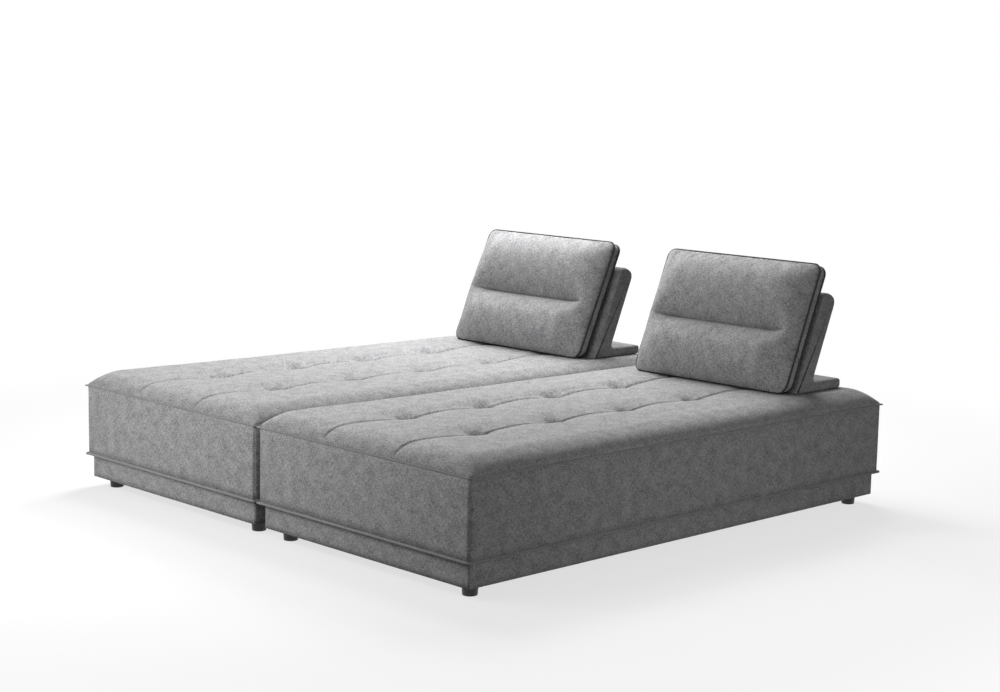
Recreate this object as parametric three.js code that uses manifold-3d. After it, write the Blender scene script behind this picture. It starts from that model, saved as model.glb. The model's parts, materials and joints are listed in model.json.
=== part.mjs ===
// Sectional sofa of two platform modules, each with a movable back support and a leaning cushion.
// Millimetres. +X runs across the set to the right module, +Y to the rear and +Z up.
// The origin lies on the floor under the middle of the set.

import * as THREE from 'three';
import { mergeVertices } from 'three/addons/utils/BufferGeometryUtils.js';
import Module from 'manifold-3d';

const wasm = await Module();
wasm.setup();

// Clearance between pieces that touch, and the overrun of every cut
const fit = 0.3;
const overrun = 4;

// Platform module
const moduleWidth = 950;
const moduleLength = 1900;
const moduleGap = 22;
const seatHeight = 400;
const crownRise = 52;
const crownWidth = 88;
const borderCorner = 12;
const coverWall = 5;
const quiltThickness = 28;
const quiltShoulder = 70;
const quiltChamfer = 45;

// Sewn seams and blind tufts of the seat
const seamCount = 2;
const tuftCount = 5;
const seamDepth = 4;
const seamHalfWidth = 12;
const valleyDepth = 5;
const valleyHalfWidth = 60;
const tuftDepth = 14;
const tuftRadius = 36;
const tuftInnerLine = 18;
const tuftOuterLine = 46;

// Welts
const weltRadius = 2.5;
const notchDepth = 3;
const hemRadius = 4;
const hemInset = 1;
const earStart = 14;
const earReach = 2;

// Plinth
const footHeight = 36;
const plinthHeight = 73;
const plinthInset = 13;
const plinthCorner = 6;
const skirtWall = 3;
const skirtTurn = 18;
const railThickness = 25;
const dustSheet = 1.5;
const blockSize = 70;
const blockDrop = 8;

// Feet
const footInset = 70;
const footTopRadius = 25;
const footBottomRadius = 22;
const footRim = 5;
const footEdge = 2;
const studRadius = 4;
const studLength = 34;

// Upper box frame and webbing
const boxRailHeight = 120;
const boxRailThickness = 28;
const bearerWidth = 60;
const bearerCount = 2;
const strapWidth = 70;
const strapThickness = 2;
const longStraps = 4;
const crossStraps = 8;

// Back support
const leanDegrees = 22.5;
const supportWidth = 722;
const supportRise = 366;
const supportThickness = 69;
const baseDepth = 246;
const baseThickness = 28;
const baseNose = 13;
const supportRearRadius = 34;
const supportFrontRadius = 29;
const heelRadius = 24;
const sideRounding = 8;
const rightRearMargin = 87;
const leftRearMargin = 60;
const rightSideShift = 3;
const leftSideShift = 18;
const hemWidth = 24;
const frameSheet = 3;
const frameMargin = 14;
const frameHeadroom = 45;

// Back cushion
const cushionWidth = 676;
const cushionHeight = 440;
const cushionCorner = 30;
const gussetWidth = 24;
const cushionEase = 5;
const rightCushionShift = 4;
const leftCushionShift = -12;
const rightExtraLeanDegrees = 0;
const leftExtraLeanDegrees = 1.6;
const backPanelTurn = 14;
const upperCrown = 46;
const lowerCrown = 58;
const sideCrownWidth = 150;
const upperCrownWidth = 100;
const lowerCrownWidth = 62;
const channelHalfWidth = 100;
const channelMargin = 42;
const channelFade = 40;
const channelCrease = 6;
const channelShoulder = 20;
const cushionWall = 12;
const coreDepth = 48;
const coreShoulder = 34;
const coreChamfer = 36;
const settleReach = 130;
const zipLength = 480;
const zipWidth = 11;
const zipDepth = 10;

// Shares and counts
const crownLineShares = [0, 0.12, 0.35, 0.66, 1];
const channelPlaceShare = 0.445;
const channelDepthShare = 0.6;
const lobeTurnShare = 0.2;
const softCrownShare = 0.74;
const panelColumnShare = 0.125;
const cornerSteps = 5;
const weltSides = 6;
const footSides = 14;
const curveSteps = 4;

// Heights and places that follow from the sizes above
const lean = THREE.MathUtils.degToRad(leanDegrees);
const plinthTop = footHeight + plinthHeight;
const hemHeight = plinthTop + hemRadius + fit;
const borderBottom = hemHeight + hemRadius + fit;
const topSeamHeight = seatHeight - crownRise;
const quiltUnderside = seatHeight - quiltThickness;
const quiltShoulderHeight = seatHeight - quiltShoulder;
const boxFrameBottom = plinthTop + fit;
const boxFrameTop = boxFrameBottom + boxRailHeight;
const webbingTop = boxFrameTop + fit + strapThickness;
const railBottom = footHeight + skirtWall + fit;
const dustSheetTop = railBottom - fit;
const weltProud = (weltRadius + fit) * Math.SQRT2 - notchDepth;

// Finishes
const fabric = new THREE.MeshStandardMaterial({ color: 0x8a8a8b, roughness: 0.95, metalness: 0 });
const supportFabric = new THREE.MeshStandardMaterial({ color: 0x6d6d6f, roughness: 0.95, metalness: 0 });
const piping = new THREE.MeshStandardMaterial({ color: 0x3a3b3d, roughness: 0.9, metalness: 0 });
const timber = new THREE.MeshStandardMaterial({ color: 0xc9a877, roughness: 0.7, metalness: 0 });
const foam = new THREE.MeshStandardMaterial({ color: 0xe8e0c4, roughness: 0.95, metalness: 0 });
const webbing = new THREE.MeshStandardMaterial({ color: 0x4a4238, roughness: 0.9, metalness: 0 });
const nonWoven = new THREE.MeshStandardMaterial({ color: 0x1c1c1d, roughness: 0.95, metalness: 0 });
const blackPlastic = new THREE.MeshStandardMaterial({ color: 0x111112, roughness: 0.5, metalness: 0 });
const rubberFelt = new THREE.MeshStandardMaterial({ color: 0x2a2a2a, roughness: 1, metalness: 0 });
const steel = new THREE.MeshStandardMaterial({ color: 0x44474a, roughness: 0.5, metalness: 0.8 });

// Closed geometry from points and triangles
function geometryFrom(points, triangles) {
  const geometry = new THREE.BufferGeometry();
  geometry.setAttribute('position', new THREE.Float32BufferAttribute(points.flat(), 3));
  geometry.setIndex(triangles.flat());
  return geometry;
}

function solidOf(geometry) {
  const bare = geometry.clone();
  bare.deleteAttribute('normal');
  bare.deleteAttribute('uv');
  const merged = mergeVertices(bare);
  const vertProperties = Float32Array.from(merged.attributes.position.array);
  const triVerts = Uint32Array.from(merged.index.array);
  return new wasm.Manifold(new wasm.Mesh({ numProp: 3, vertProperties, triVerts }));
}

function geometryOf(solid) {
  const mesh = solid.getMesh();
  const geometry = new THREE.BufferGeometry();
  geometry.setAttribute('position', new THREE.BufferAttribute(mesh.vertProperties, 3));
  geometry.setIndex(new THREE.BufferAttribute(mesh.triVerts, 1));
  return geometry;
}

function cut(geometry, ...tools) {
  const left = tools.reduce((rest, tool) => rest.subtract(solidOf(tool)), solidOf(geometry));
  return geometryOf(left);
}

function join(...pieces) {
  return geometryOf(pieces.map(solidOf).reduce((whole, piece) => whole.add(piece)));
}

// Box between two corners
function boxBetween(low, high) {
  const size = high.map((value, axis) => value - low[axis]);
  const middle = high.map((value, axis) => (value + low[axis]) / 2);
  return new THREE.BoxGeometry(...size).translate(...middle);
}

// Rectangle with round corners, centred on the origin
function rectangle(width, length, corner = 0) {
  const shape = new THREE.Shape();
  const x = width / 2;
  const y = length / 2;
  if (corner <= 0) {
    shape.setFromPoints([[-x, -y], [x, -y], [x, y], [-x, y]].map((p) => new THREE.Vector2(...p)));
    return shape;
  }
  shape.absarc(x - corner, y - corner, corner, 0, Math.PI / 2);
  shape.absarc(corner - x, y - corner, corner, Math.PI / 2, Math.PI);
  shape.absarc(corner - x, corner - y, corner, Math.PI, Math.PI * 1.5);
  shape.absarc(x - corner, corner - y, corner, Math.PI * 1.5, Math.PI * 2);
  return shape;
}

// Upright prism of a shape between two heights
function prism(shape, bottom, top) {
  const settings = { depth: top - bottom, bevelEnabled: false, curveSegments: curveSteps };
  return new THREE.ExtrudeGeometry(shape, settings).translate(0, 0, bottom);
}

// A distance from the rim, as a share of the crown's width, gives the crown's share of its rise
function crownShare(distanceShare) {
  const rest = 1 - THREE.MathUtils.clamp(distanceShare, 0, 1);
  return Math.sqrt(1 - rest * rest);
}

// The same for a softly filled cushion, which leaves its welt less steeply
function softShare(distanceShare) {
  const turn = THREE.MathUtils.clamp(distanceShare, 0, 1) * (Math.PI / 2);
  return Math.sin(turn) ** softCrownShare;
}

// Soft dip that is 1 at its middle
function bell(distanceShare) {
  return Math.exp(-distanceShare * distanceShare);
}

// Grid lines across a padded panel: close at both rims, close at each sewn place, one between places
function gridLines(half, rim, places, offsets) {
  const lines = [];
  for (const share of crownLineShares) {
    lines.push(share * rim - half, half - share * rim);
  }
  const stops = [rim - half, ...places, half - rim];
  for (let i = 1; i < stops.length; i += 1) {
    lines.push((stops[i - 1] + stops[i]) / 2);
  }
  for (const place of places) {
    for (const offset of offsets) {
      lines.push(place - offset, place + offset);
    }
  }
  return [...new Set(lines)].sort((a, b) => a - b);
}

// Moves a point of a rectangle onto the same rectangle with round corners
function roundedPlace(x, y, halfX, halfY, corner) {
  const p = corner - (halfX - Math.abs(x));
  const q = corner - (halfY - Math.abs(y));
  if (corner <= 0 || p <= 0 || q <= 0) {
    return [x, y];
  }
  const newP = p * Math.sqrt(1 - (q * q) / (2 * corner * corner));
  const newQ = q * Math.sqrt(1 - (p * p) / (2 * corner * corner));
  return [Math.sign(x) * (halfX - corner + newP), Math.sign(y) * (halfY - corner + newQ)];
}

// Padded form: a panel whose height follows a surface, bands down its edge and a flat underside
function paddedForm({ halfX, halfY, corner = 0, columns, rows, surface, bands }) {
  const points = [];
  const triangles = [];
  const index = (i, j) => j * columns.length + i;
  for (const y of rows) {
    for (const x of columns) {
      points.push([...roundedPlace(x, y, halfX, halfY, corner), surface(x, y)]);
    }
  }
  const lastColumn = columns.length - 1;
  const lastRow = rows.length - 1;
  for (let j = 0; j < lastRow; j += 1) {
    for (let i = 0; i < lastColumn; i += 1) {
      triangles.push([index(i, j), index(i + 1, j), index(i + 1, j + 1)]);
      triangles.push([index(i, j), index(i + 1, j + 1), index(i, j + 1)]);
    }
  }
  let loop = [];
  for (let i = 0; i < lastColumn; i += 1) loop.push(index(i, 0));
  for (let j = 0; j < lastRow; j += 1) loop.push(index(lastColumn, j));
  for (let i = lastColumn; i > 0; i -= 1) loop.push(index(i, lastRow));
  for (let j = lastRow; j > 0; j -= 1) loop.push(index(0, j));
  const rim = loop.map((vertex) => points[vertex]);
  for (const { height, inset } of bands) {
    const first = points.length;
    for (const [x, y] of rim) {
      points.push([(x * (halfX - inset)) / halfX, (y * (halfY - inset)) / halfY, height]);
    }
    for (let k = 0; k < loop.length; k += 1) {
      const next = (k + 1) % loop.length;
      triangles.push([loop[k], first + k, first + next]);
      triangles.push([loop[k], first + next, loop[next]]);
    }
    loop = rim.map((_, k) => first + k);
  }
  const middle = points.length;
  points.push([0, 0, bands[bands.length - 1].height]);
  for (let k = 0; k < loop.length; k += 1) {
    triangles.push([middle, loop[(k + 1) % loop.length], loop[k]]);
  }
  return geometryFrom(points, triangles);
}

// Block whose upper edges are chamfered
function chamferedBlock({ halfX, halfY, bottom, shoulder, top, chamfer }) {
  const x = halfX - chamfer;
  const y = halfY - chamfer;
  return paddedForm({
    halfX: x,
    halfY: y,
    columns: [-x, x],
    rows: [-y, y],
    surface: () => top,
    bands: [{ height: shoulder, inset: -chamfer }, { height: bottom, inset: -chamfer }],
  });
}

// Closed round cord along a level loop of [x, y] points
function cordLoop(path, radius) {
  const points = [];
  const triangles = [];
  const count = path.length;
  path.forEach((point, k) => {
    const here = new THREE.Vector2(...point);
    const before = here.clone().sub(new THREE.Vector2(...path[(k + count - 1) % count])).normalize();
    const after = new THREE.Vector2(...path[(k + 1) % count]).sub(here).normalize();
    const outward = new THREE.Vector2(before.y + after.y, -before.x - after.x).normalize();
    const miter = 1 / (outward.x * after.y - outward.y * after.x);
    for (let side = 0; side < weltSides; side += 1) {
      const angle = (side / weltSides) * Math.PI * 2;
      const reach = radius * Math.cos(angle) * miter;
      points.push([
        here.x + outward.x * reach,
        here.y + outward.y * reach,
        radius * Math.sin(angle),
      ]);
    }
    const next = (k + 1) % count;
    for (let side = 0; side < weltSides; side += 1) {
      const turn = (side + 1) % weltSides;
      const corners = [k, next].map((row) => row * weltSides);
      triangles.push([corners[0] + side, corners[1] + side, corners[1] + turn]);
      triangles.push([corners[0] + side, corners[1] + turn, corners[0] + turn]);
    }
  });
  return geometryFrom(points, triangles);
}

// Loop round a rectangle whose corners run out into small ears, as a sewn welt's ends do
function earedLoop(halfX, halfY) {
  const corners = [[1, -1], [1, 1], [-1, 1], [-1, -1]];
  return corners.flatMap(([x, y]) => {
    const along = [x * halfX, y * (halfY - earStart)];
    const across = [x * (halfX - earStart), y * halfY];
    const tip = [x * (halfX + earReach), y * (halfY + earReach)];
    return x * y > 0 ? [along, tip, across] : [across, tip, along];
  });
}

// Loop round a rectangle with round corners
function roundedLoop(halfX, halfY, corner) {
  const centres = [[1, -1], [1, 1], [-1, 1], [-1, -1]];
  return centres.flatMap(([x, y], turn) => {
    const arc = [];
    for (let step = 0; step <= cornerSteps; step += 1) {
      const angle = (turn - 1 + step / cornerSteps) * (Math.PI / 2);
      const centre = [x * (halfX - corner), y * (halfY - corner)];
      arc.push([centre[0] + corner * Math.cos(angle), centre[1] + corner * Math.sin(angle)]);
    }
    return arc;
  });
}

// Seat cover: crowned quilted top, plain border and an open underside
const seamPlaces = Array.from({ length: seamCount }, (_, i) => (
  moduleWidth * ((i + 1) / (seamCount + 1)) - moduleWidth / 2
));
const tuftPlaces = Array.from({ length: tuftCount }, (_, i) => (
  moduleLength * ((i + 1) / (tuftCount + 1)) - moduleLength / 2
));

function seatSurface(x, y) {
  const acrossShare = crownShare((moduleWidth / 2 - Math.abs(x)) / crownWidth);
  const alongShare = crownShare((moduleLength / 2 - Math.abs(y)) / crownWidth);
  let dip = 0;
  for (const seam of seamPlaces) {
    dip += seamDepth * bell((x - seam) / seamHalfWidth);
    dip += valleyDepth * bell((x - seam) / valleyHalfWidth);
    for (const tuft of tuftPlaces) {
      dip += tuftDepth * bell(Math.hypot(x - seam, y - tuft) / tuftRadius);
    }
  }
  return topSeamHeight + notchDepth + (crownRise - notchDepth - dip) * acrossShare * alongShare;
}

function seatCoverGeometry() {
  const halfX = moduleWidth / 2;
  const halfY = moduleLength / 2;
  const outer = paddedForm({
    halfX,
    halfY,
    corner: borderCorner,
    columns: gridLines(halfX, crownWidth, seamPlaces, [0, tuftInnerLine, tuftOuterLine]),
    rows: gridLines(halfY, crownWidth, tuftPlaces, [0, (tuftInnerLine + tuftOuterLine) / 2]),
    surface: seatSurface,
    bands: [
      { height: topSeamHeight, inset: notchDepth },
      { height: topSeamHeight - notchDepth, inset: 0 },
      { height: borderBottom, inset: 0 },
    ],
  });
  const hollow = seatBlockGeometry(coverWall, borderBottom - overrun, 0);
  return cut(outer, hollow);
}

// Block that fills the seat cover, set in from the border and lowered by a clearance
function seatBlockGeometry(inset, bottom, clearance) {
  return chamferedBlock({
    halfX: moduleWidth / 2 - inset,
    halfY: moduleLength / 2 - inset,
    bottom,
    shoulder: quiltShoulderHeight - clearance,
    top: quiltUnderside - clearance,
    chamfer: quiltChamfer,
  });
}

// Timber frame of the upper box, glued up from four rails and the bearers between them
const innerWidth = moduleWidth - 2 * (coverWall + fit);
const innerLength = moduleLength - 2 * (coverWall + fit);

function boxFrameGeometry() {
  const bayWidth = innerWidth - 2 * boxRailThickness;
  const bayLength = (innerLength - 2 * boxRailThickness - bearerCount * bearerWidth) / (bearerCount + 1);
  const bays = [];
  for (let i = 0; i <= bearerCount; i += 1) {
    const start = boxRailThickness + i * (bayLength + bearerWidth) - innerLength / 2;
    bays.push(boxBetween(
      [-bayWidth / 2, start, boxFrameBottom - overrun],
      [bayWidth / 2, start + bayLength, boxFrameTop + overrun],
    ));
  }
  return cut(prism(rectangle(innerWidth, innerLength), boxFrameBottom, boxFrameTop), ...bays);
}

// Elastic webbing: straps along and across, stapled to the frame and interlaced where they cross
function webbingGeometry() {
  const straps = [];
  const bottom = boxFrameTop + fit;
  for (let i = 0; i < longStraps; i += 1) {
    const x = (i / (longStraps - 1)) * (innerWidth - strapWidth) - innerWidth / 2;
    straps.push(boxBetween([x, -innerLength / 2, bottom], [x + strapWidth, innerLength / 2, webbingTop]));
  }
  for (let j = 0; j < crossStraps; j += 1) {
    const y = (j / (crossStraps - 1)) * (innerLength - strapWidth) - innerLength / 2;
    straps.push(boxBetween([-innerWidth / 2, y, bottom], [innerWidth / 2, y + strapWidth, webbingTop]));
  }
  return join(...straps);
}

// Fabric skirt of the plinth, turned in under the rails
function plinthCoverGeometry() {
  const width = moduleWidth - 2 * plinthInset;
  const length = moduleLength - 2 * plinthInset;
  const turn = 2 * (skirtWall + skirtTurn);
  return cut(
    prism(rectangle(width, length, plinthCorner), footHeight, plinthTop),
    prism(
      rectangle(width - 2 * skirtWall, length - 2 * skirtWall),
      footHeight + skirtWall,
      plinthTop + overrun,
    ),
    prism(rectangle(width - turn, length - turn), footHeight - overrun, footHeight + 2 * skirtWall),
  );
}

// Plinth rails: two run the full length, two stand between them
const railOuterX = moduleWidth / 2 - plinthInset - skirtWall - fit;
const railOuterY = moduleLength / 2 - plinthInset - skirtWall - fit;
const railInnerX = railOuterX - railThickness;
const railInnerY = railOuterY - railThickness;
const blockReach = blockSize + fit;

function sideRailGeometry() {
  return boxBetween([railInnerX, -railOuterY, railBottom], [railOuterX, railOuterY, plinthTop]);
}

function endRailGeometry() {
  const reach = railInnerX - fit;
  return boxBetween([-reach, railInnerY, railBottom], [reach, railOuterY, plinthTop]);
}

// Bore for a foot's stud, its flats clear of the stud
const footX = moduleWidth / 2 - footInset;
const footY = moduleLength / 2 - footInset;

function boreOutline(x, y) {
  const radius = (studRadius + fit) / Math.cos(Math.PI / footSides);
  return new THREE.Path(Array.from({ length: footSides }, (_, k) => {
    const angle = (k / footSides) * Math.PI * 2;
    return new THREE.Vector2(x + radius * Math.cos(angle), y - radius * Math.sin(angle));
  }));
}

// Corner block, bored for the foot's stud
function cornerBlockGeometry() {
  const x = railInnerX - fit - blockSize / 2;
  const y = railInnerY - fit - blockSize / 2;
  const shape = rectangle(blockSize, blockSize);
  shape.holes.push(boreOutline(footX - x, footY - y));
  return prism(shape, railBottom, plinthTop - blockDrop).translate(x, y, 0);
}

// Foot: a black moulded puck on a steel stud
function footGeometry() {
  const top = dustSheetTop - dustSheet - fit;
  const profile = [
    [0, 0],
    [footBottomRadius - footEdge, 0],
    [footBottomRadius, footEdge],
    [footTopRadius, top - footRim],
    [footTopRadius, top],
    [studRadius, top],
    [studRadius, top + studLength],
    [0, top + studLength],
  ].map((point) => new THREE.Vector2(...point));
  return new THREE.LatheGeometry(profile, footSides).rotateX(Math.PI / 2).translate(footX, footY, 0);
}

// Dust cover under the rails, inside the skirt's turned edge, with a hole for each stud
function dustCoverGeometry() {
  const turn = 2 * (plinthInset + skirtWall + skirtTurn + fit);
  const shape = rectangle(moduleWidth - turn, moduleLength - turn);
  for (const [x, y] of [[1, 1], [-1, 1], [-1, -1], [1, -1]]) {
    shape.holes.push(boreOutline(x * footX, y * footY));
  }
  return prism(shape, dustSheetTop - dustSheet, dustSheetTop);
}

// Side outline of the L-shaped support in (y, z), set in from its face by an inset
function supportPoint(offset, rise) {
  return [
    offset * Math.cos(lean) + rise * Math.sin(lean),
    rise * Math.cos(lean) - offset * Math.sin(lean),
  ];
}

function leanAt(offset, height) {
  return offset / Math.cos(lean) + height * Math.tan(lean);
}

function supportOutline(inset, floor) {
  const baseTop = baseThickness - inset;
  const rear = baseDepth - inset;
  const back = supportThickness - inset;
  const head = supportRise - inset;
  return roundedOutline([
    [leanAt(inset, floor), floor, 0],
    [rear, floor, baseNose - inset],
    [rear, baseTop, baseNose - inset],
    [leanAt(back, baseTop), baseTop, heelRadius + inset],
    [...supportPoint(back, head), supportRearRadius - inset],
    [...supportPoint(inset, head), supportFrontRadius - inset],
  ]);
}

// Outline through corner points, each turned with a curve of the given reach
function roundedOutline(corners) {
  const shape = new THREE.Shape();
  corners.forEach(([x, y, reach], k) => {
    const corner = new THREE.Vector2(x, y);
    const neighbours = [k + corners.length - 1, k + 1].map((n) => {
      const [nx, ny] = corners[n % corners.length];
      return new THREE.Vector2(nx, ny).sub(corner).normalize().multiplyScalar(reach).add(corner);
    });
    const [start, end] = neighbours;
    if (k === 0) {
      shape.moveTo(start.x, start.y);
    } else {
      shape.lineTo(start.x, start.y);
    }
    if (reach > 0) {
      shape.quadraticCurveTo(corner.x, corner.y, end.x, end.y);
    }
  });
  return shape;
}

// Extrudes a (y, z) outline across the support, centred on its middle
const acrossSupport = new THREE.Matrix4().makeBasis(
  new THREE.Vector3(0, 1, 0),
  new THREE.Vector3(0, 0, 1),
  new THREE.Vector3(1, 0, 0),
);

function acrossPrism(shape, width, rounding = 0) {
  const geometry = new THREE.ExtrudeGeometry(shape, {
    depth: width - 2 * rounding,
    curveSegments: curveSteps,
    bevelEnabled: rounding > 0,
    bevelSegments: 2,
    bevelSize: rounding,
    bevelThickness: rounding,
    bevelOffset: -rounding,
  });
  geometry.translate(0, 0, rounding - width / 2);
  return geometry.applyMatrix4(acrossSupport);
}

// The cover's underside is open inside a turned hem
const padFront = hemWidth;
const padRear = baseDepth - hemWidth;
const padHalfWidth = supportWidth / 2 - hemWidth;

function supportCoverGeometry() {
  return cut(
    acrossPrism(supportOutline(0, 0), supportWidth, sideRounding),
    acrossPrism(supportOutline(coverWall, coverWall), supportWidth - 2 * coverWall),
    boxBetween([-padHalfWidth, padFront, -overrun], [padHalfWidth, padRear, coverWall + fit]),
  );
}

// Sheet steel frame: a base plate with a blade welded to it that leans with the upright
const frameHalfWidth = supportWidth / 2 - coverWall - frameMargin;

function frameGeometry(clearance) {
  const plateBottom = coverWall + fit;
  const plateTop = plateBottom + frameSheet + clearance;
  const front = coverWall + frameMargin - clearance;
  const rear = baseDepth - coverWall - frameMargin + clearance;
  const bladeFront = supportThickness / 2 - frameSheet / 2 - clearance;
  const bladeBack = supportThickness / 2 + frameSheet / 2 + clearance;
  const head = supportRise - frameHeadroom + clearance;
  const outline = [
    [front, plateBottom - clearance],
    [rear, plateBottom - clearance],
    [rear, plateTop],
    [leanAt(bladeBack, plateTop), plateTop],
    supportPoint(bladeBack, head),
    supportPoint(bladeFront, head),
    [leanAt(bladeFront, plateTop), plateTop],
    [front, plateTop],
  ].map((point) => new THREE.Vector2(...point));
  return acrossPrism(new THREE.Shape(outline), 2 * (frameHalfWidth + clearance));
}

function supportFoamGeometry() {
  const inset = coverWall + fit;
  return cut(
    acrossPrism(supportOutline(inset, inset), supportWidth - 2 * inset),
    frameGeometry(fit),
  );
}

function padGeometry() {
  return boxBetween(
    [fit - padHalfWidth, padFront + fit, 0],
    [padHalfWidth - fit, padRear - fit, coverWall],
  );
}

// Cushion, built lying on its back: x across, y up the cushion, z out of its front face
const backWeltPlace = cushionEase + notchDepth;
const frontWeltPlace = backWeltPlace + gussetWidth + 2 * notchDepth;
const frontRim = frontWeltPlace + notchDepth;
const channelPlace = cushionHeight * channelPlaceShare - cushionHeight / 2;

function cushionSurface(x, y) {
  const acrossShare = softShare((cushionWidth / 2 - Math.abs(x)) / sideCrownWidth);
  const aboveChannel = y > channelPlace;
  const fromTop = softShare((cushionHeight / 2 - y) / upperCrownWidth);
  const fromFoot = crownShare((cushionHeight / 2 + y) / lowerCrownWidth);
  const alongShare = aboveChannel ? fromTop : fromFoot;
  const lobeShare = crownShare(Math.abs(y - channelPlace) / channelHalfWidth);
  const aboveShare = THREE.MathUtils.smoothstep(
    (y - channelPlace) / cushionHeight,
    -lobeTurnShare,
    lobeTurnShare,
  );
  const rise = THREE.MathUtils.lerp(lowerCrown, upperCrown, aboveShare);
  const fromSide = cushionWidth / 2 - Math.abs(x);
  const sewnShare = THREE.MathUtils.smoothstep(fromSide, channelMargin, channelMargin + channelFade);
  const channelShare = 1 - channelDepthShare * sewnShare * (1 - lobeShare);
  return frontRim + rise * channelShare * acrossShare * alongShare;
}

// The cushion's foot sinks level onto the seat, so its front reaches down as far as its back
function settled(geometry, cushionLean) {
  const position = geometry.attributes.position;
  for (let i = 0; i < position.count; i += 1) {
    const height = position.getY(i) + cushionHeight / 2;
    const share = THREE.MathUtils.clamp(1 - height / settleReach, 0, 1) ** 2;
    const drop = position.getZ(i) * Math.tan(cushionLean) * Math.min(share, 1);
    position.setY(i, position.getY(i) - drop);
  }
  return geometry;
}

function cushionCoverGeometry(cushionLean) {
  const halfX = cushionWidth / 2;
  const halfY = cushionHeight / 2;
  const rowOffsets = [0, channelCrease, channelShoulder, channelHalfWidth];
  const outer = paddedForm({
    halfX,
    halfY,
    corner: cushionCorner,
    columns: gridLines(halfX, sideCrownWidth, [0], [0, cushionWidth * panelColumnShare]),
    rows: gridLines(halfY, upperCrownWidth, [channelPlace], rowOffsets),
    surface: cushionSurface,
    bands: [
      { height: frontWeltPlace, inset: notchDepth },
      { height: frontWeltPlace - notchDepth, inset: 0 },
      { height: backWeltPlace + notchDepth, inset: 0 },
      { height: backWeltPlace, inset: notchDepth },
      { height: backWeltPlace - notchDepth, inset: 0 },
      { height: 0, inset: backPanelTurn },
    ],
  });
  const zipLow = zipMiddle - zipDepth / 2;
  const zipHigh = zipMiddle + zipDepth / 2;
  const zipSlot = boxBetween(
    [-zipLength / 2 - fit, -halfY - overrun, zipLow - fit],
    [zipLength / 2 + fit, cushionWall + fit - halfY, zipHigh + fit],
  );
  return settled(cut(outer, cushionBlockGeometry(0), zipSlot), cushionLean);
}

// Foam core of the cushion, and the hollow that it fills
function cushionBlockGeometry(clearance) {
  return chamferedBlock({
    halfX: cushionWidth / 2 - cushionWall - clearance,
    halfY: cushionHeight / 2 - cushionWall - clearance,
    bottom: cushionWall + clearance,
    shoulder: coreShoulder - clearance,
    top: coreDepth + cushionWall - clearance,
    chamfer: coreChamfer,
  });
}

const zipMiddle = (backWeltPlace + frontWeltPlace) / 2;

function zipGeometry(cushionLean) {
  const foot = -cushionHeight / 2;
  const strip = boxBetween(
    [-zipLength / 2, foot, zipMiddle - zipDepth / 2],
    [zipLength / 2, foot + zipWidth, zipMiddle + zipDepth / 2],
  );
  return settled(strip, cushionLean);
}

function cushionWeltGeometry(height, cushionLean) {
  const path = roundedLoop(
    cushionWidth / 2 + weltProud,
    cushionHeight / 2 + weltProud,
    cushionCorner + weltProud,
  );
  return settled(cordLoop(path, weltRadius).translate(0, 0, height), cushionLean);
}

function topWeltGeometry() {
  const path = earedLoop(moduleWidth / 2 + weltProud, moduleLength / 2 + weltProud);
  return cordLoop(path, weltRadius).translate(0, 0, topSeamHeight);
}

function bottomWeltGeometry() {
  const path = earedLoop(moduleWidth / 2 - hemInset, moduleLength / 2 - hemInset);
  return cordLoop(path, hemRadius).translate(0, 0, hemHeight);
}

// Pieces of one module, each shared by the left and the right one
const modulePieces = [
  ['seat_cover', seatCoverGeometry(), fabric],
  ['top_welt', topWeltGeometry(), fabric],
  ['bottom_welt', bottomWeltGeometry(), fabric],
  ['seat_foam', seatBlockGeometry(coverWall + fit, webbingTop + fit, fit), foam],
  ['seat_webbing', webbingGeometry(), webbing],
  ['box_frame', boxFrameGeometry(), timber],
  ['plinth_cover', plinthCoverGeometry(), fabric],
  ['plinth_right_rail', sideRailGeometry(), timber],
  ['plinth_left_rail', sideRailGeometry().rotateZ(Math.PI), timber],
  ['plinth_rear_rail', endRailGeometry(), timber],
  ['plinth_front_rail', endRailGeometry().rotateZ(Math.PI), timber],
  ['dust_cover', dustCoverGeometry(), nonWoven],
];

// The corner block and foot are made for the rear right corner and moved to the others
for (const [corner, x, y] of [
  ['rear_right', 0, 0],
  ['rear_left', -2 * footX, 0],
  ['front_right', 0, -2 * footY],
  ['front_left', -2 * footX, -2 * footY],
]) {
  modulePieces.push([`foot_${corner}`, footGeometry().translate(x, y, 0), blackPlastic]);
}
for (const [corner, x, y] of [
  ['rear_right', 1, 1],
  ['rear_left', -1, 1],
  ['front_right', 1, -1],
  ['front_left', -1, -1],
]) {
  const block = cornerBlockGeometry();
  const turned = x * y > 0 ? block.rotateZ(x > 0 ? 0 : Math.PI) : mirrored(block, x, y);
  modulePieces.push([`corner_block_${corner}`, turned, timber]);
}

// Mirror image in one plane, with its faces still pointing out
function mirrored(geometry, x, y) {
  const flipped = mergeVertices(geometry.scale(x, y, 1));
  const index = flipped.index;
  for (let i = 0; i < index.count; i += 3) {
    const first = index.getX(i);
    index.setX(i, index.getX(i + 1));
    index.setX(i + 1, first);
  }
  return flipped;
}

const supportPieces = [
  ['support_cover', supportCoverGeometry(), supportFabric],
  ['support_foam', supportFoamGeometry(), foam],
  ['support_frame', frameGeometry(0), steel],
  ['antislip_pad', padGeometry(), rubberFelt],
];

function cushionPieces(cushionLean) {
  return [
    ['cushion_cover', cushionCoverGeometry(cushionLean), fabric],
    ['cushion_core', settled(cushionBlockGeometry(fit), cushionLean), foam],
    ['cushion_front_welt', cushionWeltGeometry(frontWeltPlace, cushionLean), piping],
    ['cushion_back_welt', cushionWeltGeometry(backWeltPlace, cushionLean), piping],
    ['cushion_zip', zipGeometry(cushionLean), nonWoven],
  ];
}

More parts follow.
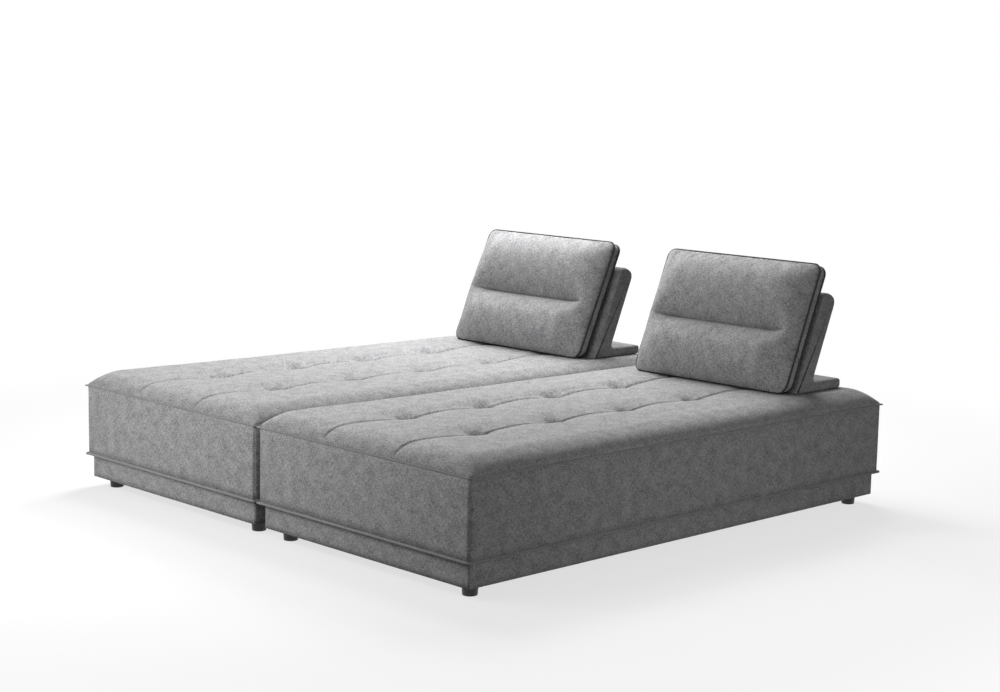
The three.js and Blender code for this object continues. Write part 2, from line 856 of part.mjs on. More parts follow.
function addPieces(group, side, pieces) {
  for (const [name, geometry, material] of pieces) {
    const mesh = new THREE.Mesh(geometry, material.clone());
    mesh.name = `${side}_${name}`;
    group.add(mesh);
  }
}

// The cushion leans at least as far as its support and touches it where the upright's head rounds off
function leaningCushion(side, { cushionShift, extraLean }) {
  const cushion = new THREE.Group();
  const cushionLean = lean + THREE.MathUtils.degToRad(extraLean);
  const touch = supportRise - supportFrontRadius;
  const [touchY, touchZ] = supportPoint(-fit, touch);
  const reach = (touchZ - fit * Math.sin(cushionLean)) / Math.cos(cushionLean);
  const lift = weltProud + weltRadius + fit;
  const along = lift + cushionHeight / 2 - reach;
  cushion.rotation.x = Math.PI / 2 - cushionLean;
  cushion.position.set(
    cushionShift,
    touchY + along * Math.sin(cushionLean),
    touchZ + along * Math.cos(cushionLean),
  );
  addPieces(cushion, side, cushionPieces(cushionLean));
  return cushion;
}

// One module with its support and cushion
function buildModule(side, direction, seating) {
  const module = new THREE.Group();
  module.position.x = direction * (moduleWidth + moduleGap) / 2;
  addPieces(module, side, modulePieces);

  const support = new THREE.Group();
  const setback = moduleLength / 2 - seating.rearMargin - baseDepth;
  support.position.set(seating.sideShift, setback, seatHeight + fit);
  addPieces(support, side, supportPieces);
  support.add(leaningCushion(side, seating));
  module.add(support);
  return module;
}

const sofa = new THREE.Group();
sofa.name = 'sectional_sofa';
sofa.add(buildModule('left', -1, {
  rearMargin: leftRearMargin,
  sideShift: leftSideShift,
  cushionShift: leftCushionShift,
  extraLean: leftExtraLeanDegrees,
}));
sofa.add(buildModule('right', 1, {
  rearMargin: rightRearMargin,
  sideShift: rightSideShift,
  cushionShift: rightCushionShift,
  extraLean: rightExtraLeanDegrees,
}));

export default sofa;
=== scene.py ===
"""Sectional sofa: two tufted platform modules with sliding back supports and leaning cushions."""

import json
import math

import bmesh
import bpy
from mathutils import Matrix, Vector, noise


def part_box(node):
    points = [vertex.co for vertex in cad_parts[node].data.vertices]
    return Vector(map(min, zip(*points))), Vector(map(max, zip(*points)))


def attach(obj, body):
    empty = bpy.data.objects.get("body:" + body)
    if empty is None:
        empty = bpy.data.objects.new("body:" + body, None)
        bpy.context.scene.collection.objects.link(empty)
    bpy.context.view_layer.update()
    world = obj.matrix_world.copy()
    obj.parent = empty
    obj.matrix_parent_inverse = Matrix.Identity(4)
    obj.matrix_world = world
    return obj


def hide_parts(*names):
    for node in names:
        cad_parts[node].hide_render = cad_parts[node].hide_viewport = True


bl_info = {
    "name": "Sectional Sofa",
    "version": (1, 0, 0),
    "blender": (4, 5, 0),
    "location": "View3D > Sidebar > Sofa",
    "description": "Upholsters a packed sectional sofa: tufted seats, welts, back supports and cushions",
    "category": "Add Mesh",
}

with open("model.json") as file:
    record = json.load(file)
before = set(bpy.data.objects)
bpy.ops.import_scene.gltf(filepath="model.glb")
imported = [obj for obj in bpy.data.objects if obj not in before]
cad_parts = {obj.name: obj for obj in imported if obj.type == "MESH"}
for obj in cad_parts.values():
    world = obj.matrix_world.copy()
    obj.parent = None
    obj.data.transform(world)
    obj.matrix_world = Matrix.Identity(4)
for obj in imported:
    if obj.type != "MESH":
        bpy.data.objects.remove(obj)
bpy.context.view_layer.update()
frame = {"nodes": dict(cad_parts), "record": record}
SIDES = ("left", "right")
CORNERS = ("rear_right", "rear_left", "front_right", "front_left")
WEAVE_MAP = "Weave"
# The gap that touching pieces keep, and the depth of the notch in which a welt lies
CLEARANCE = 0.0003
NOTCH = 0.003
# Height of a cushion's rear piping over its flat back
CUSHION_BACK = 0.008
# How far the seats' cloth stays under the seat height, so that nothing on it is cut
SEAT_SPARE = 0.0002


def span(node):
    """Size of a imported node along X, Y and Z, in metres."""
    low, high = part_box(node)
    return high - low


def middle(node):
    """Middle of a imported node."""
    low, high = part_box(node)
    return (low + high) / 2


def linear(code):
    """Linear colour of an sRGB hex value."""
    parts = [int(code[i : i + 2], 16) / 255 for i in (1, 3, 5)]
    return [p / 12.92 if p <= 0.04045 else ((p + 0.055) / 1.055) ** 2.4 for p in parts]


# Sizes and colours that a user would change


def length(name, default, description):
    """A length in metres that the panel shows."""
    return bpy.props.FloatProperty(
        name=name, default=default, unit="LENGTH", precision=4, description=description
    )


def colour(name, code, description):
    """A colour that the panel shows, given as an sRGB hex value."""
    return bpy.props.FloatVectorProperty(
        name=name, subtype="COLOR", size=3, min=0, max=1, default=linear(code), description=description
    )


class SofaSizes(bpy.types.PropertyGroup):
    seat_width: length("Seat width", span("left_seat_cover").x, "Width of one module")
    seat_length: length("Seat length", span("left_seat_cover").y, "Length of one module")
    seat_height: length("Seat height", 0.4, "Top of the seat above the floor")
    crown_rise: length("Crown rise", 0.052, "Height of the quilted top over its welt")
    crown_width: length("Crown width", 0.088, "How far in from the welt the top still rises")
    seam_depth: length("Seam depth", 0.0055, "How deep the long seams are pulled in")
    seam_width: length("Seam width", 0.0055, "Half width of a long seam's crease")
    valley_depth: length("Valley depth", 0.004, "Depth of the soft valley along a long seam")
    valley_width: length("Valley width", 0.055, "Half width of that valley")
    tuft_depth: length("Tuft depth", 0.022, "How deep a blind tuft is drawn in")
    tuft_radius: length("Tuft radius", 0.027, "Reach of a tuft's dimple")
    draw_depth: length("Draw depth", 0.010, "How far a tuft draws the cloth round it down")
    draw_length: length("Draw length", 0.1, "Reach of that draw along the seam")
    draw_width: length("Draw width", 0.06, "Reach of that draw across the seam")
    border_corner: length("Border corner", 0.012, "Corner radius of the border")
    welt_radius: length("Welt radius", 0.0025, "Radius of the piping cord with its cover")
    hem_radius: length("Hem welt radius", 0.0048, "Radius of the thicker welt under the border")
    plinth_inset: length("Plinth inset", 0.013, "How far the plinth stands back")
    plinth_corner: length("Plinth corner", 0.006, "Corner radius of the plinth")
    lean: bpy.props.FloatProperty(
        name="Lean", default=math.radians(22.5), subtype="ANGLE", description="Lean of the back support"
    )
    extra_lean: bpy.props.FloatVectorProperty(
        name="Extra lean", default=(math.radians(1.6), 0), size=2, subtype="EULER",
        description="How much farther the left and the right cushion lean than their supports",
    )
    support_width: length("Support width", span("left_support_cover").x, "Width of a back support")
    support_rise: length("Support rise", 0.366, "Length of the upright along its slope")
    support_depth: length("Support depth", 0.069, "Thickness of the upright")
    base_depth: length("Base depth", span("left_support_cover").y, "Depth of the base plate")
    base_height: length("Base height", 0.033, "Thickness of the base plate with its padding")
    base_toe: length("Base toe", 0.006, "Reach of the curve at the base plate's front edge")
    base_nose: length("Base nose", 0.013, "Reach of the curve at the base plate's rear edges")
    heel_reach: length("Heel reach", 0.024, "Reach of the curve from the base plate to the upright")
    head_rear: length("Head rear", 0.034, "Reach of the curve at the upright's rear top edge")
    head_front: length("Head front", 0.029, "Reach of the curve at the upright's front top edge")
    side_rounding: length("Side rounding", 0.008, "Rounding of a back support's side edges")
    pad_inset: length("Pad inset", 0.024, "How far the grip pad lies inside the base")
    cushion_width: length("Cushion width", span("left_cushion_cover").x, "Width of a back cushion")
    cushion_height: length("Cushion height", 0.44, "Height of a back cushion along its slope")
    cushion_corner: length("Cushion corner", 0.03, "Corner radius of a back cushion")
    gusset: length("Gusset", 0.024, "Width of the band between the two welts")
    upper_crown: length("Upper crown", 0.056, "Crown of the lobe above the channel")
    lower_crown: length("Lower crown", 0.063, "Crown of the lobe below the channel")
    channel_floor: length("Channel floor", 0.009, "Height of the channel over the front piping")
    stitch_depth: length("Stitch depth", 0.007, "How deep the channel's stitches are pulled in")
    channel_place: length("Channel place", -0.0242, "Height of the sewn channel over the cushion's middle")
    channel_margin: length("Channel margin", 0.042, "How far from the sides the channel's sewing ends")
    piping_radius: length("Piping radius", 0.0036, "Radius of the cushion's piping with its cover")
    foot_radius: length("Foot radius", 0.025, "Radius of a foot at its top")


class SofaColours(bpy.types.PropertyGroup):
    yarn_light: colour("Light yarn", "#c8c8c9", "Lightest fibres of the heather yarn")
    yarn_middle: colour("Middle yarn", "#9e9e9f", "Most of the yarn")
    yarn_dark: colour("Dark yarn", "#6c6b6d", "Darkest fibres of the heather yarn")
    piping: colour("Piping", "#29292b", "Twill cover of the cushion piping")
    foot: colour("Foot", "#0b0b0c", "Moulded foot")
    timber: colour("Timber", "#c9a877", "Planed softwood")
    foam: colour("Foam", "#e6ddc0", "Upholstery foam")
    webbing: colour("Webbing", "#57503f", "Elastic webbing")
    dust_sheet: colour("Dust sheet", "#1d1d1e", "Non-woven sheet under the plinth")
    steel: colour("Steel", "#55585b", "Powder coat of the support frame")
    felt: colour("Felt", "#2c2c2d", "Rubberised felt under the supports")
    floor: colour("Floor", "#f4f4f4", "Studio floor")


# Materials


def add_node(tree, kind, links=None, **settings):
    """Adds a node; settings name its attributes or sockets, and links its inputs' sources."""
    node = tree.nodes.new(kind)
    for key, value in settings.items():
        if hasattr(node, key):
            setattr(node, key, value)
        else:
            node.inputs[key.replace("_", " ")].default_value = value
    for key, source in (links or {}).items():
        tree.links.new(source, node.inputs[key])
    return node


def new_material(name, **settings):
    """A node material with its tree and its shader; settings name the shader's inputs."""
    material = bpy.data.materials.new(name)
    material.use_nodes = True
    tree = material.node_tree
    shader = tree.nodes["Principled BSDF"]
    for key, value in settings.items():
        shader.inputs[key.replace("_", " ")].default_value = value
    return material, tree, shader


def rgba(value):
    """The same colour with full opacity."""
    return (*value, 1.0)


def heather_weave(name, colours, shade=1.0, pitch=0.0019):
    """Piece-dyed melange linen-look upholstery: plain weave of slubby two-tone yarn.

    To the eye it is matt, mottled grey with short streaks along both threads.
    """
    if name in bpy.data.materials:
        return bpy.data.materials[name]
    material, tree, shader = new_material(
        name, Roughness=0.94, Specular_IOR_Level=0.2, Sheen_Weight=0.1, Sheen_Roughness=0.5
    )
    place = add_node(tree, "ShaderNodeTexCoord").outputs["UV"]
    # The real threads are about 0.9 mm apart; they are drawn 1.9 mm apart so that they show.
    # A wave texture of scale 1 has its bands 0.314159 m apart.
    bands = 0.314159 / pitch
    threads = [
        add_node(
            tree, "ShaderNodeTexWave", {"Vector": place}, bands_direction=way,
            Scale=bands, Distortion=1.4, Detail=2.0, Detail_Scale=1.5,
        ).outputs["Fac"]
        for way in ("X", "Y")
    ]
    over = add_node(tree, "ShaderNodeMath", {0: threads[0], 1: threads[1]}, operation="MULTIPLY")
    # Slubs: thick places about 11 mm long and 3 mm wide in the warp and the weft
    slubs = []
    for stretch in ((330, 90, 1), (90, 330, 1)):
        turned = add_node(tree, "ShaderNodeMapping", {"Vector": place}, Scale=stretch)
        grain = add_node(
            tree, "ShaderNodeTexNoise", {"Vector": turned.outputs[0]},
            Scale=1.0, Detail=2.0, Roughness=0.55,
        )
        slubs.append(grain.outputs["Fac"])
    slub = add_node(tree, "ShaderNodeMix", {"A": slubs[0], "B": slubs[1]}, Factor=0.5)
    layers = [(over.outputs[0], 0.16)]
    # Flecks of dark and pale fibre 1.3 mm long, and clouds of uneven dye 40 mm across
    for scale, detail, share in ((780.0, 1.0, 0.24), (26.0, 3.0, 0.14)):
        spots = add_node(
            tree, "ShaderNodeTexNoise", {"Vector": place}, Scale=scale, Detail=detail, Roughness=0.5
        )
        layers.append((spots.outputs["Fac"], share))
    tone = slub.outputs["Result"]
    for source, share in layers:
        mixed = add_node(tree, "ShaderNodeMix", {"A": tone, "B": source}, Factor=share)
        tone = mixed.outputs["Result"]
    ramp = add_node(tree, "ShaderNodeValToRGB", {"Fac": tone})
    # Places of the dark, the middle and the light yarn on the tone
    stops = ramp.color_ramp
    stops.elements[0].position = 0.375
    stops.elements[1].position = 0.57
    stops.elements[0].color = rgba([c * shade for c in colours.yarn_dark])
    stops.elements[1].color = rgba([c * shade for c in colours.yarn_light])
    mid = stops.elements.new(0.47)
    mid.color = rgba([c * shade for c in colours.yarn_middle])
    tree.links.new(ramp.outputs["Color"], shader.inputs["Base Color"])
    relief = add_node(
        tree, "ShaderNodeMix", {"A": over.outputs[0], "B": slub.outputs["Result"]}, Factor=0.45
    )
    bump = add_node(
        tree, "ShaderNodeBump", {"Height": relief.outputs["Result"]}, Strength=0.3, Distance=0.0011
    )
    tree.links.new(bump.outputs["Normal"], shader.inputs["Normal"])
    return material


def speckled(name, base, roughness, grains, variation, depth, stretch=(1, 1, 1)):
    """A finish with fine speckle: moulded, powder coated, foamed or felted.

    It has that many grains in a metre, and stretch draws them out along an axis.
    """
    if name in bpy.data.materials:
        return bpy.data.materials[name]
    material, tree, shader = new_material(name, Roughness=roughness)
    place = add_node(tree, "ShaderNodeTexCoord").outputs["Object"]
    turned = add_node(tree, "ShaderNodeMapping", {"Vector": place}, Scale=stretch)
    grain = add_node(
        tree, "ShaderNodeTexNoise", {"Vector": turned.outputs[0]},
        Scale=grains, Detail=4.0, Roughness=0.6,
    )
    ramp = add_node(tree, "ShaderNodeValToRGB", {"Fac": grain.outputs["Fac"]})
    ramp.color_ramp.elements[0].position = 0.3
    ramp.color_ramp.elements[1].position = 0.7
    ramp.color_ramp.elements[0].color = rgba([c * (1 - variation) for c in base])
    ramp.color_ramp.elements[1].color = rgba([min(c * (1 + variation), 1) for c in base])
    tree.links.new(ramp.outputs["Color"], shader.inputs["Base Color"])
    bump = add_node(
        tree, "ShaderNodeBump", {"Height": grain.outputs["Fac"]}, Strength=0.4, Distance=depth
    )
    tree.links.new(bump.outputs["Normal"], shader.inputs["Normal"])
    return material


# Mesh helpers


def finish_piece(name, bm, body, material, replaced, smooth=True):
    """Makes a mesh of the bmesh, and a piece of that mesh."""
    mesh = bpy.data.meshes.new(name)
    bm.to_mesh(mesh)
    bm.free()
    return finish_mesh(name, mesh, body, material, replaced, smooth)


def finish_mesh(name, mesh, body, material, replaced, smooth=True):
    """Makes the object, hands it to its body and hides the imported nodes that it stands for."""
    mesh.materials.clear()
    mesh.materials.append(material)
    mesh.polygons.foreach_set("use_smooth", [smooth] * len(mesh.polygons))
    piece = bpy.data.objects.new(name, mesh)
    bpy.context.scene.collection.objects.link(piece)
    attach(piece, body)
    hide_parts(*replaced)
    return piece


def rounded_place(x, y, half_x, half_y, corner):
    """Moves a point of a rectangle onto the same rectangle with round corners."""
    p = corner - (half_x - abs(x))
    q = corner - (half_y - abs(y))
    if p <= 0 or q <= 0:
        return x, y
    new_p = p * math.sqrt(1 - q * q / (2 * corner * corner))
    new_q = q * math.sqrt(1 - p * p / (2 * corner * corner))
    return (
        math.copysign(half_x - corner + new_p, x),
        math.copysign(half_y - corner + new_q, y),
    )


def crown_share(distance, width):
    """Share of a crown's rise at a distance in from its rim."""
    rest = 1 - min(max(distance / width, 0), 1)
    return math.sqrt(1 - rest * rest)


def soft_share(distance, width):
    """The same for a softly filled cushion, which leaves its welt less steeply."""
    return math.sin(min(max(distance / width, 0), 1) * math.pi / 2) ** 0.6


def smooth(distance, width):
    """Rises softly from 0 to 1 over a width."""
    share = min(max(distance / width, 0), 1)
    return share * share * (3 - 2 * share)


def bell(share):
    """A soft hump: 1 at 0, and next to nothing beyond 2."""
    return math.exp(-share * share)


def ripple(x, y, z, size, seed):
    """Slow unevenness of stuffed cloth, from -1 to 1."""
    return noise.noise(Vector((x / size + seed, y / size - seed, z / size + 2 * seed)))


def crowd(value, apart, strength, start=None):
    """Draws grid lines together at places that lie apart from each other, from start on."""
    turn = 2 * math.pi / apart
    start = apart / 2 if start is None else start
    return value - strength / turn * math.sin(turn * (value - start))


def rim_edges(bm):
    """The open edges of a panel."""
    return [edge for edge in bm.edges if edge.is_boundary]


def pull_rim(bm, edges, move):
    """Extrudes a rim and moves its new points; returns the new rim's edges."""
    made = bmesh.ops.extrude_edge_only(bm, edges=edges)["geom"]
    for vert in (item for item in made if isinstance(item, bmesh.types.BMVert)):
        vert.co = move(vert.co)
    return [
        item for item in made
        if isinstance(item, bmesh.types.BMEdge) and item.is_boundary
    ]


def pull_straight(bm, rim, start, end, levels):
    """Extrudes a rim from one height to another in equal steps."""
    for level in range(1, levels + 1):
        height = start + (end - start) * level / levels
        rim = pull_rim(bm, rim, lambda co: Vector((co.x, co.y, height)))
    return rim


def inset_from(half_x, half_y):
    """A move for a rim's points: in from the sides of a rectangle, and to a height."""

    def inset(co, by, height):
        return Vector((co.x * (1 - by / half_x), co.y * (1 - by / half_y), height))

    return inset


# Stout upholstery cloth on its wadding
CLOTH = {
    "quality": 4, "mass": 0.15, "tension_stiffness": 12, "compression_stiffness": 12,
    "shear_stiffness": 6, "bending_stiffness": 6, "use_pressure": True, "uniform_pressure_force": 4,
}


def blow_up(bm, held, most, slack, steps=20):
    """Blows a panel of cloth up between its rim and its held points, no farther than most.

    The slack is the share by which the cloth is cut larger than its filling.
    """
    scene = bpy.context.scene
    bm.verts.index_update()
    mesh = bpy.data.meshes.new("trial")
    bm.to_mesh(mesh)
    trial = bpy.data.objects.new("trial", mesh)
    scene.collection.objects.link(trial)
    group = trial.vertex_groups.new(name="held")
    group.add([vert.index for vert in bm.verts if vert.is_boundary or held(vert.co)], 1.0, "REPLACE")
    cloth = trial.modifiers.new("Cloth", "CLOTH")
    cloth.point_cache.frame_end = steps
    for key, value in CLOTH.items():
        setattr(cloth.settings, key, value)
    cloth.settings.shrink_min = -slack
    cloth.settings.effector_weights.gravity = 0
    cloth.settings.vertex_group_mass = "held"
    for step in range(1, steps + 1):
        scene.frame_set(step)
    graph = bpy.context.evaluated_depsgraph_get()
    blown = trial.evaluated_get(graph).to_mesh()
    for vert in bm.verts:
        move = blown.vertices[vert.index].co - vert.co
        if move.length > 0:
            vert.co += move.normalized() * most * math.tanh(move.length / most)
    bpy.data.objects.remove(trial)
    bpy.data.meshes.remove(mesh)
    scene.frame_set(1)


def lay_weave(bm, faces, layer):
    """Lays the cloth's map, in metres, on faces, along the main plane that each one is nearest to."""
    for face in faces:
        side = max(range(3), key=lambda axis: abs(face.normal[axis]))
        first, second = ((1, 2), (0, 2), (0, 1))[side]
        for loop in face.loops:
            loop[layer].uv = (loop.vert.co[first], loop.vert.co[second])


def loop_outline(points):
    """A closed loop of points as a bmesh."""
    bm = bmesh.new()
    verts = [bm.verts.new(point) for point in points]
    for i, vert in enumerate(verts):
        bm.edges.new((vert, verts[(i + 1) % len(verts)]))
    return bm


def rectangle_path(half_x, half_y, corner, step=0.02):
    """Points round a rectangle with round corners, in even steps."""
    points = []
    for turn, (sx, sy) in enumerate(((1, -1), (1, 1), (-1, 1), (-1, -1))):
        for k in range(7):
            angle = (turn - 1 + k / 6) * math.pi / 2
            points.append(
                Vector((sx * (half_x - corner) + corner * math.cos(angle),
                        sy * (half_y - corner) + corner * math.sin(angle), 0))
            )
    return even_steps(points, step)


def even_steps(corners, step):
    """Fills the long runs of a closed path with points a step apart."""
    points = []
    for i, here in enumerate(corners):
        after = corners[(i + 1) % len(corners)]
        count = max(1, round((after - here).length / step))
        points += [here.lerp(after, k / count) for k in range(count)]
    return points


def cord_mesh(name, points, radius, closed=True):
    """Mesh of a round cord along points, with the cloth's map in metres."""
    curve = bpy.data.curves.new(name, "CURVE")
    curve.dimensions = "3D"
    curve.twist_mode = "MINIMUM"
    spline = curve.splines.new("POLY")
    spline.points.add(len(points) - 1)
    for target, point in zip(spline.points, points):
        target.co = (*point, 1)
    spline.use_cyclic_u = closed
    curve.bevel_depth = radius
    curve.bevel_resolution = 2
    curve.use_fill_caps = not closed
    holder = bpy.data.objects.new(name + "_line", curve)
    bpy.context.scene.collection.objects.link(holder)
    graph = bpy.context.evaluated_depsgraph_get()
    mesh = bpy.data.meshes.new_from_object(holder.evaluated_get(graph))
    bpy.data.objects.remove(holder)
    bpy.data.curves.remove(curve)
    bm = bmesh.new()
    bm.from_mesh(mesh)
    layer = bm.loops.layers.uv.new(WEAVE_MAP)
    bm.normal_update()
    lay_weave(bm, bm.faces, layer)
    bm.to_mesh(mesh)
    bm.free()
    return mesh


# Seats


def seat_drop(x, y, sizes, seed):
    """How far the quilted top lies under its plateau, and how deep its sewn seams are."""
    drop, crease = 0, 0
    # Cushion and support press the padding flat from here backwards
    pressed, pressed_from, pressed_over = 0.85, 0.41, 0.12
    loaded = 1 - pressed * smooth(y - pressed_from, pressed_over)
    # A seam's draw doesn't reach farther than this
    reach = 0.2
    seam_gap = sizes.seat_width / 3
    tuft_gap = sizes.seat_length / 6
    for seam in (-seam_gap / 2, seam_gap / 2):
        across = x - seam
        if abs(across) > reach:
            continue
        pucker = 1 + 0.3 * ripple(x, y, 0, 0.03, seed + seam)
        crease += sizes.seam_depth * pucker * bell(across / sizes.seam_width)
        drop += loaded * sizes.valley_depth * bell(across / sizes.valley_width)
        for i in range(-2, 3):
            along = y - i * tuft_gap
            drop += sizes.tuft_depth * bell(math.hypot(across, along) / sizes.tuft_radius)
            drawn = bell(along / sizes.draw_length) * bell(across / sizes.draw_width)
            drop += loaded * sizes.draw_depth * drawn
    return drop, crease


def seat_height(x, y, sizes, seed):
    """Height of the quilted top at a place on it."""
    top = sizes.seat_height
    rim = top - sizes.crown_rise + NOTCH
    edge = min(sizes.seat_width / 2 - abs(x), sizes.seat_length / 2 - abs(y))
    across = crown_share(sizes.seat_width / 2 - abs(x), sizes.crown_width)
    along = crown_share(sizes.seat_length / 2 - abs(y), sizes.crown_width)
    drop, crease = seat_drop(x, y, sizes, seed)
    # The filling is uneven by up to 1.2 mm, and the seams' creases end at the welt
    drop += 0.0012 * (0.5 + 0.5 * ripple(x, y, 0, 0.16, seed))
    crease *= smooth(edge, 0.006)
    return min(rim + (top - rim - drop) * across * along - crease, top - SEAT_SPARE)


def build_seat(sizes, seed):
    """Quilted top, border and turned-in hem of one seat, centred on its module."""
    half_x, half_y = sizes.seat_width / 2, sizes.seat_length / 2
    top = sizes.seat_height
    seam = top - sizes.crown_rise
    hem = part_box("left_seat_cover")[0].z
    bm = bmesh.new()
    layer = bm.loops.layers.uv.new(WEAVE_MAP)
    bmesh.ops.create_grid(bm, x_segments=132, y_segments=216, size=0.5)
    # The grid is finer at the seams and at the rows of tufts
    for vert in bm.verts:
        x = crowd(vert.co.x * sizes.seat_width, sizes.seat_width / 3, strength=0.72)
        y = crowd(vert.co.y * sizes.seat_length, sizes.seat_length / 6, strength=0.74, start=0)
        vert.co = Vector((x, y, seat_height(x, y, sizes, seed)))
    for face in bm.faces:
        for loop in face.loops:
            x, y, z = loop.vert.co
            near_x, near_y = half_x - abs(x), half_y - abs(y)
            u = x + (math.copysign(top - z, x) if near_x < near_y else 0)
            v = y + (math.copysign(top - z, y) if near_y <= near_x else 0)
            loop[layer].uv = (u, v)
    for vert in bm.verts:
        vert.co.x, vert.co.y = rounded_place(
            vert.co.x, vert.co.y, half_x, half_y, sizes.border_corner
        )
    panel = set(bm.faces)
    seam_gap, tuft_gap = sizes.seat_width / 3, sizes.seat_length / 6
    # A tuft holds the cloth this far round it
    tuft_hold = 0.03

    def sewn(co):
        across = abs(abs(co.x) - seam_gap / 2)
        along = min(abs(co.y - i * tuft_gap) for i in range(-2, 3))
        return across < 2 * sizes.seam_width or math.hypot(across, along) < tuft_hold

    blow_up(bm, sewn, most=0.002, slack=0, steps=8)
    for vert in bm.verts:
        vert.co.z = min(vert.co.z, top - SEAT_SPARE)

    inset = inset_from(half_x, half_y)
    high = seam - NOTCH
    rim = pull_rim(bm, rim_edges(bm), lambda co: inset(co, NOTCH, seam))
    rim = pull_rim(bm, rim, lambda co: inset(co, -NOTCH, high))
    quilt = set(bm.verts)
    rim = pull_straight(bm, rim, high, hem, 9)
    # The border bulges between its welts, less so near its corners, which are sewn in
    bulge, waver, corner_hold = 0.0022, 0.0008, 0.05
    corner_crease, crease_width = 0.0022, 0.0045
    for vert in set(bm.verts) - quilt:
        x, y, z = vert.co
        share = (high - z) / (high - hem)
        near_x, near_y = half_x - abs(x), half_y - abs(y)
        inward = max(near_x, near_y)
        hold = min(inward / corner_hold, 1)
        uneven = waver * ripple(x, y, z, 0.12, seed)
        full = bulge * math.sin(math.pi * share) + uneven * hold
        crease = corner_crease * bell(inward / crease_width)
        if near_x < near_y:
            vert.co.x += math.copysign(full * hold, x)
        else:
            vert.co.y += math.copysign(full * hold, y)
        vert.co -= Vector((math.copysign(crease, x), math.copysign(crease, y), 0))
    # The hem turns in, and a lining follows the border and the top from inside
    hem_turn, shoulder, slope, ceiling = 0.005, 0.33, 0.045, 0.372
    rim = pull_rim(bm, rim, lambda co: inset(co, hem_turn, hem))
    rim = pull_rim(bm, rim, lambda co: Vector((co.x, co.y, shoulder)))
    rim = pull_rim(bm, rim, lambda co: inset(co, slope, ceiling))
    bmesh.ops.contextual_create(bm, geom=rim)
    bm.normal_update()
    lay_weave(bm, [face for face in bm.faces if face not in panel], layer)
    bmesh.ops.recalc_face_normals(bm, faces=bm.faces)
    return bm


class SOFA_OT_seats(bpy.types.Operator):
    """Upholsters the seats with their tufted tops and borders"""

    bl_idname = "sofa.seats"
    bl_label = "Seats"

    def execute(self, context):
        sizes, colours = context.scene.sofa_sizes, context.scene.sofa_colours
        # Woven upholstery cloth, sewn over wadding: matt and mottled, with soft puckers
        cloth = heather_weave("Heather linen-look weave", colours)
        for number, side in enumerate(SIDES):
            bm = build_seat(sizes, 3.1 + 5 * number)
            bmesh.ops.translate(bm, vec=(middle(f"{side}_seat_cover").x, 0, 0), verts=bm.verts)
            piece = finish_piece(
                f"{side}_seat_upholstery", bm, f"{side}_module", cloth,
                [f"{side}_seat_cover", f"{side}_seat_foam"],
            )
        return {"FINISHED"}


def eared_path(half_x, half_y, reach, ear=0.014):
    """Round a module, with the welt's ends standing out as small ears at the corners."""
    corners = []
    for sx, sy in ((1, -1), (1, 1), (-1, 1), (-1, -1)):
        along = Vector((sx * half_x, sy * (half_y - ear), 0))
        across = Vector((sx * (half_x - ear), sy * half_y, 0))
        tip = Vector((sx * (half_x + reach), sy * (half_y + reach), 0))
        corners += [along, tip, across] if sx * sy > 0 else [across, tip, along]
    return even_steps(corners, 0.018)


class SOFA_OT_seat_welts(bpy.types.Operator):
    """Sews the welts along the top seam and along the lower edge of each seat"""

    bl_idname = "sofa.seat_welts"
    bl_label = "Seat welts"

    def execute(self, context):
        sizes, colours = context.scene.sofa_sizes, context.scene.sofa_colours
        # The same cloth round a cord, its colour a little darker: painted shade for the dark line along
        # each welt
        cloth = heather_weave("Heather weave cut on the bias", colours, shade=0.92)
        half_x, half_y = sizes.seat_width / 2, sizes.seat_length / 2
        for node, radius, offset, waver in (
            ("top_welt", sizes.welt_radius, 0.00096, 0.0005),
            ("bottom_welt", sizes.hem_radius, -0.001, 0.0006),
        ):
            for number, side in enumerate(SIDES):
                centre = middle(f"{side}_{node}")
                path = []
                for point in eared_path(half_x + offset, half_y + offset, 0.002):
                    lift = waver * ripple(point.x, point.y, number, 0.09, 1.7)
                    path.append(point + Vector((centre.x, centre.y, centre.z + lift)))
                mesh = cord_mesh(f"{side}_{node}_cord", path, radius)
                finish_mesh(
                    f"{side}_{node}_piping", mesh, f"{side}_module", cloth,
                    [f"{side}_{node}"],
                )
        return {"FINISHED"}


# Plinths and feet


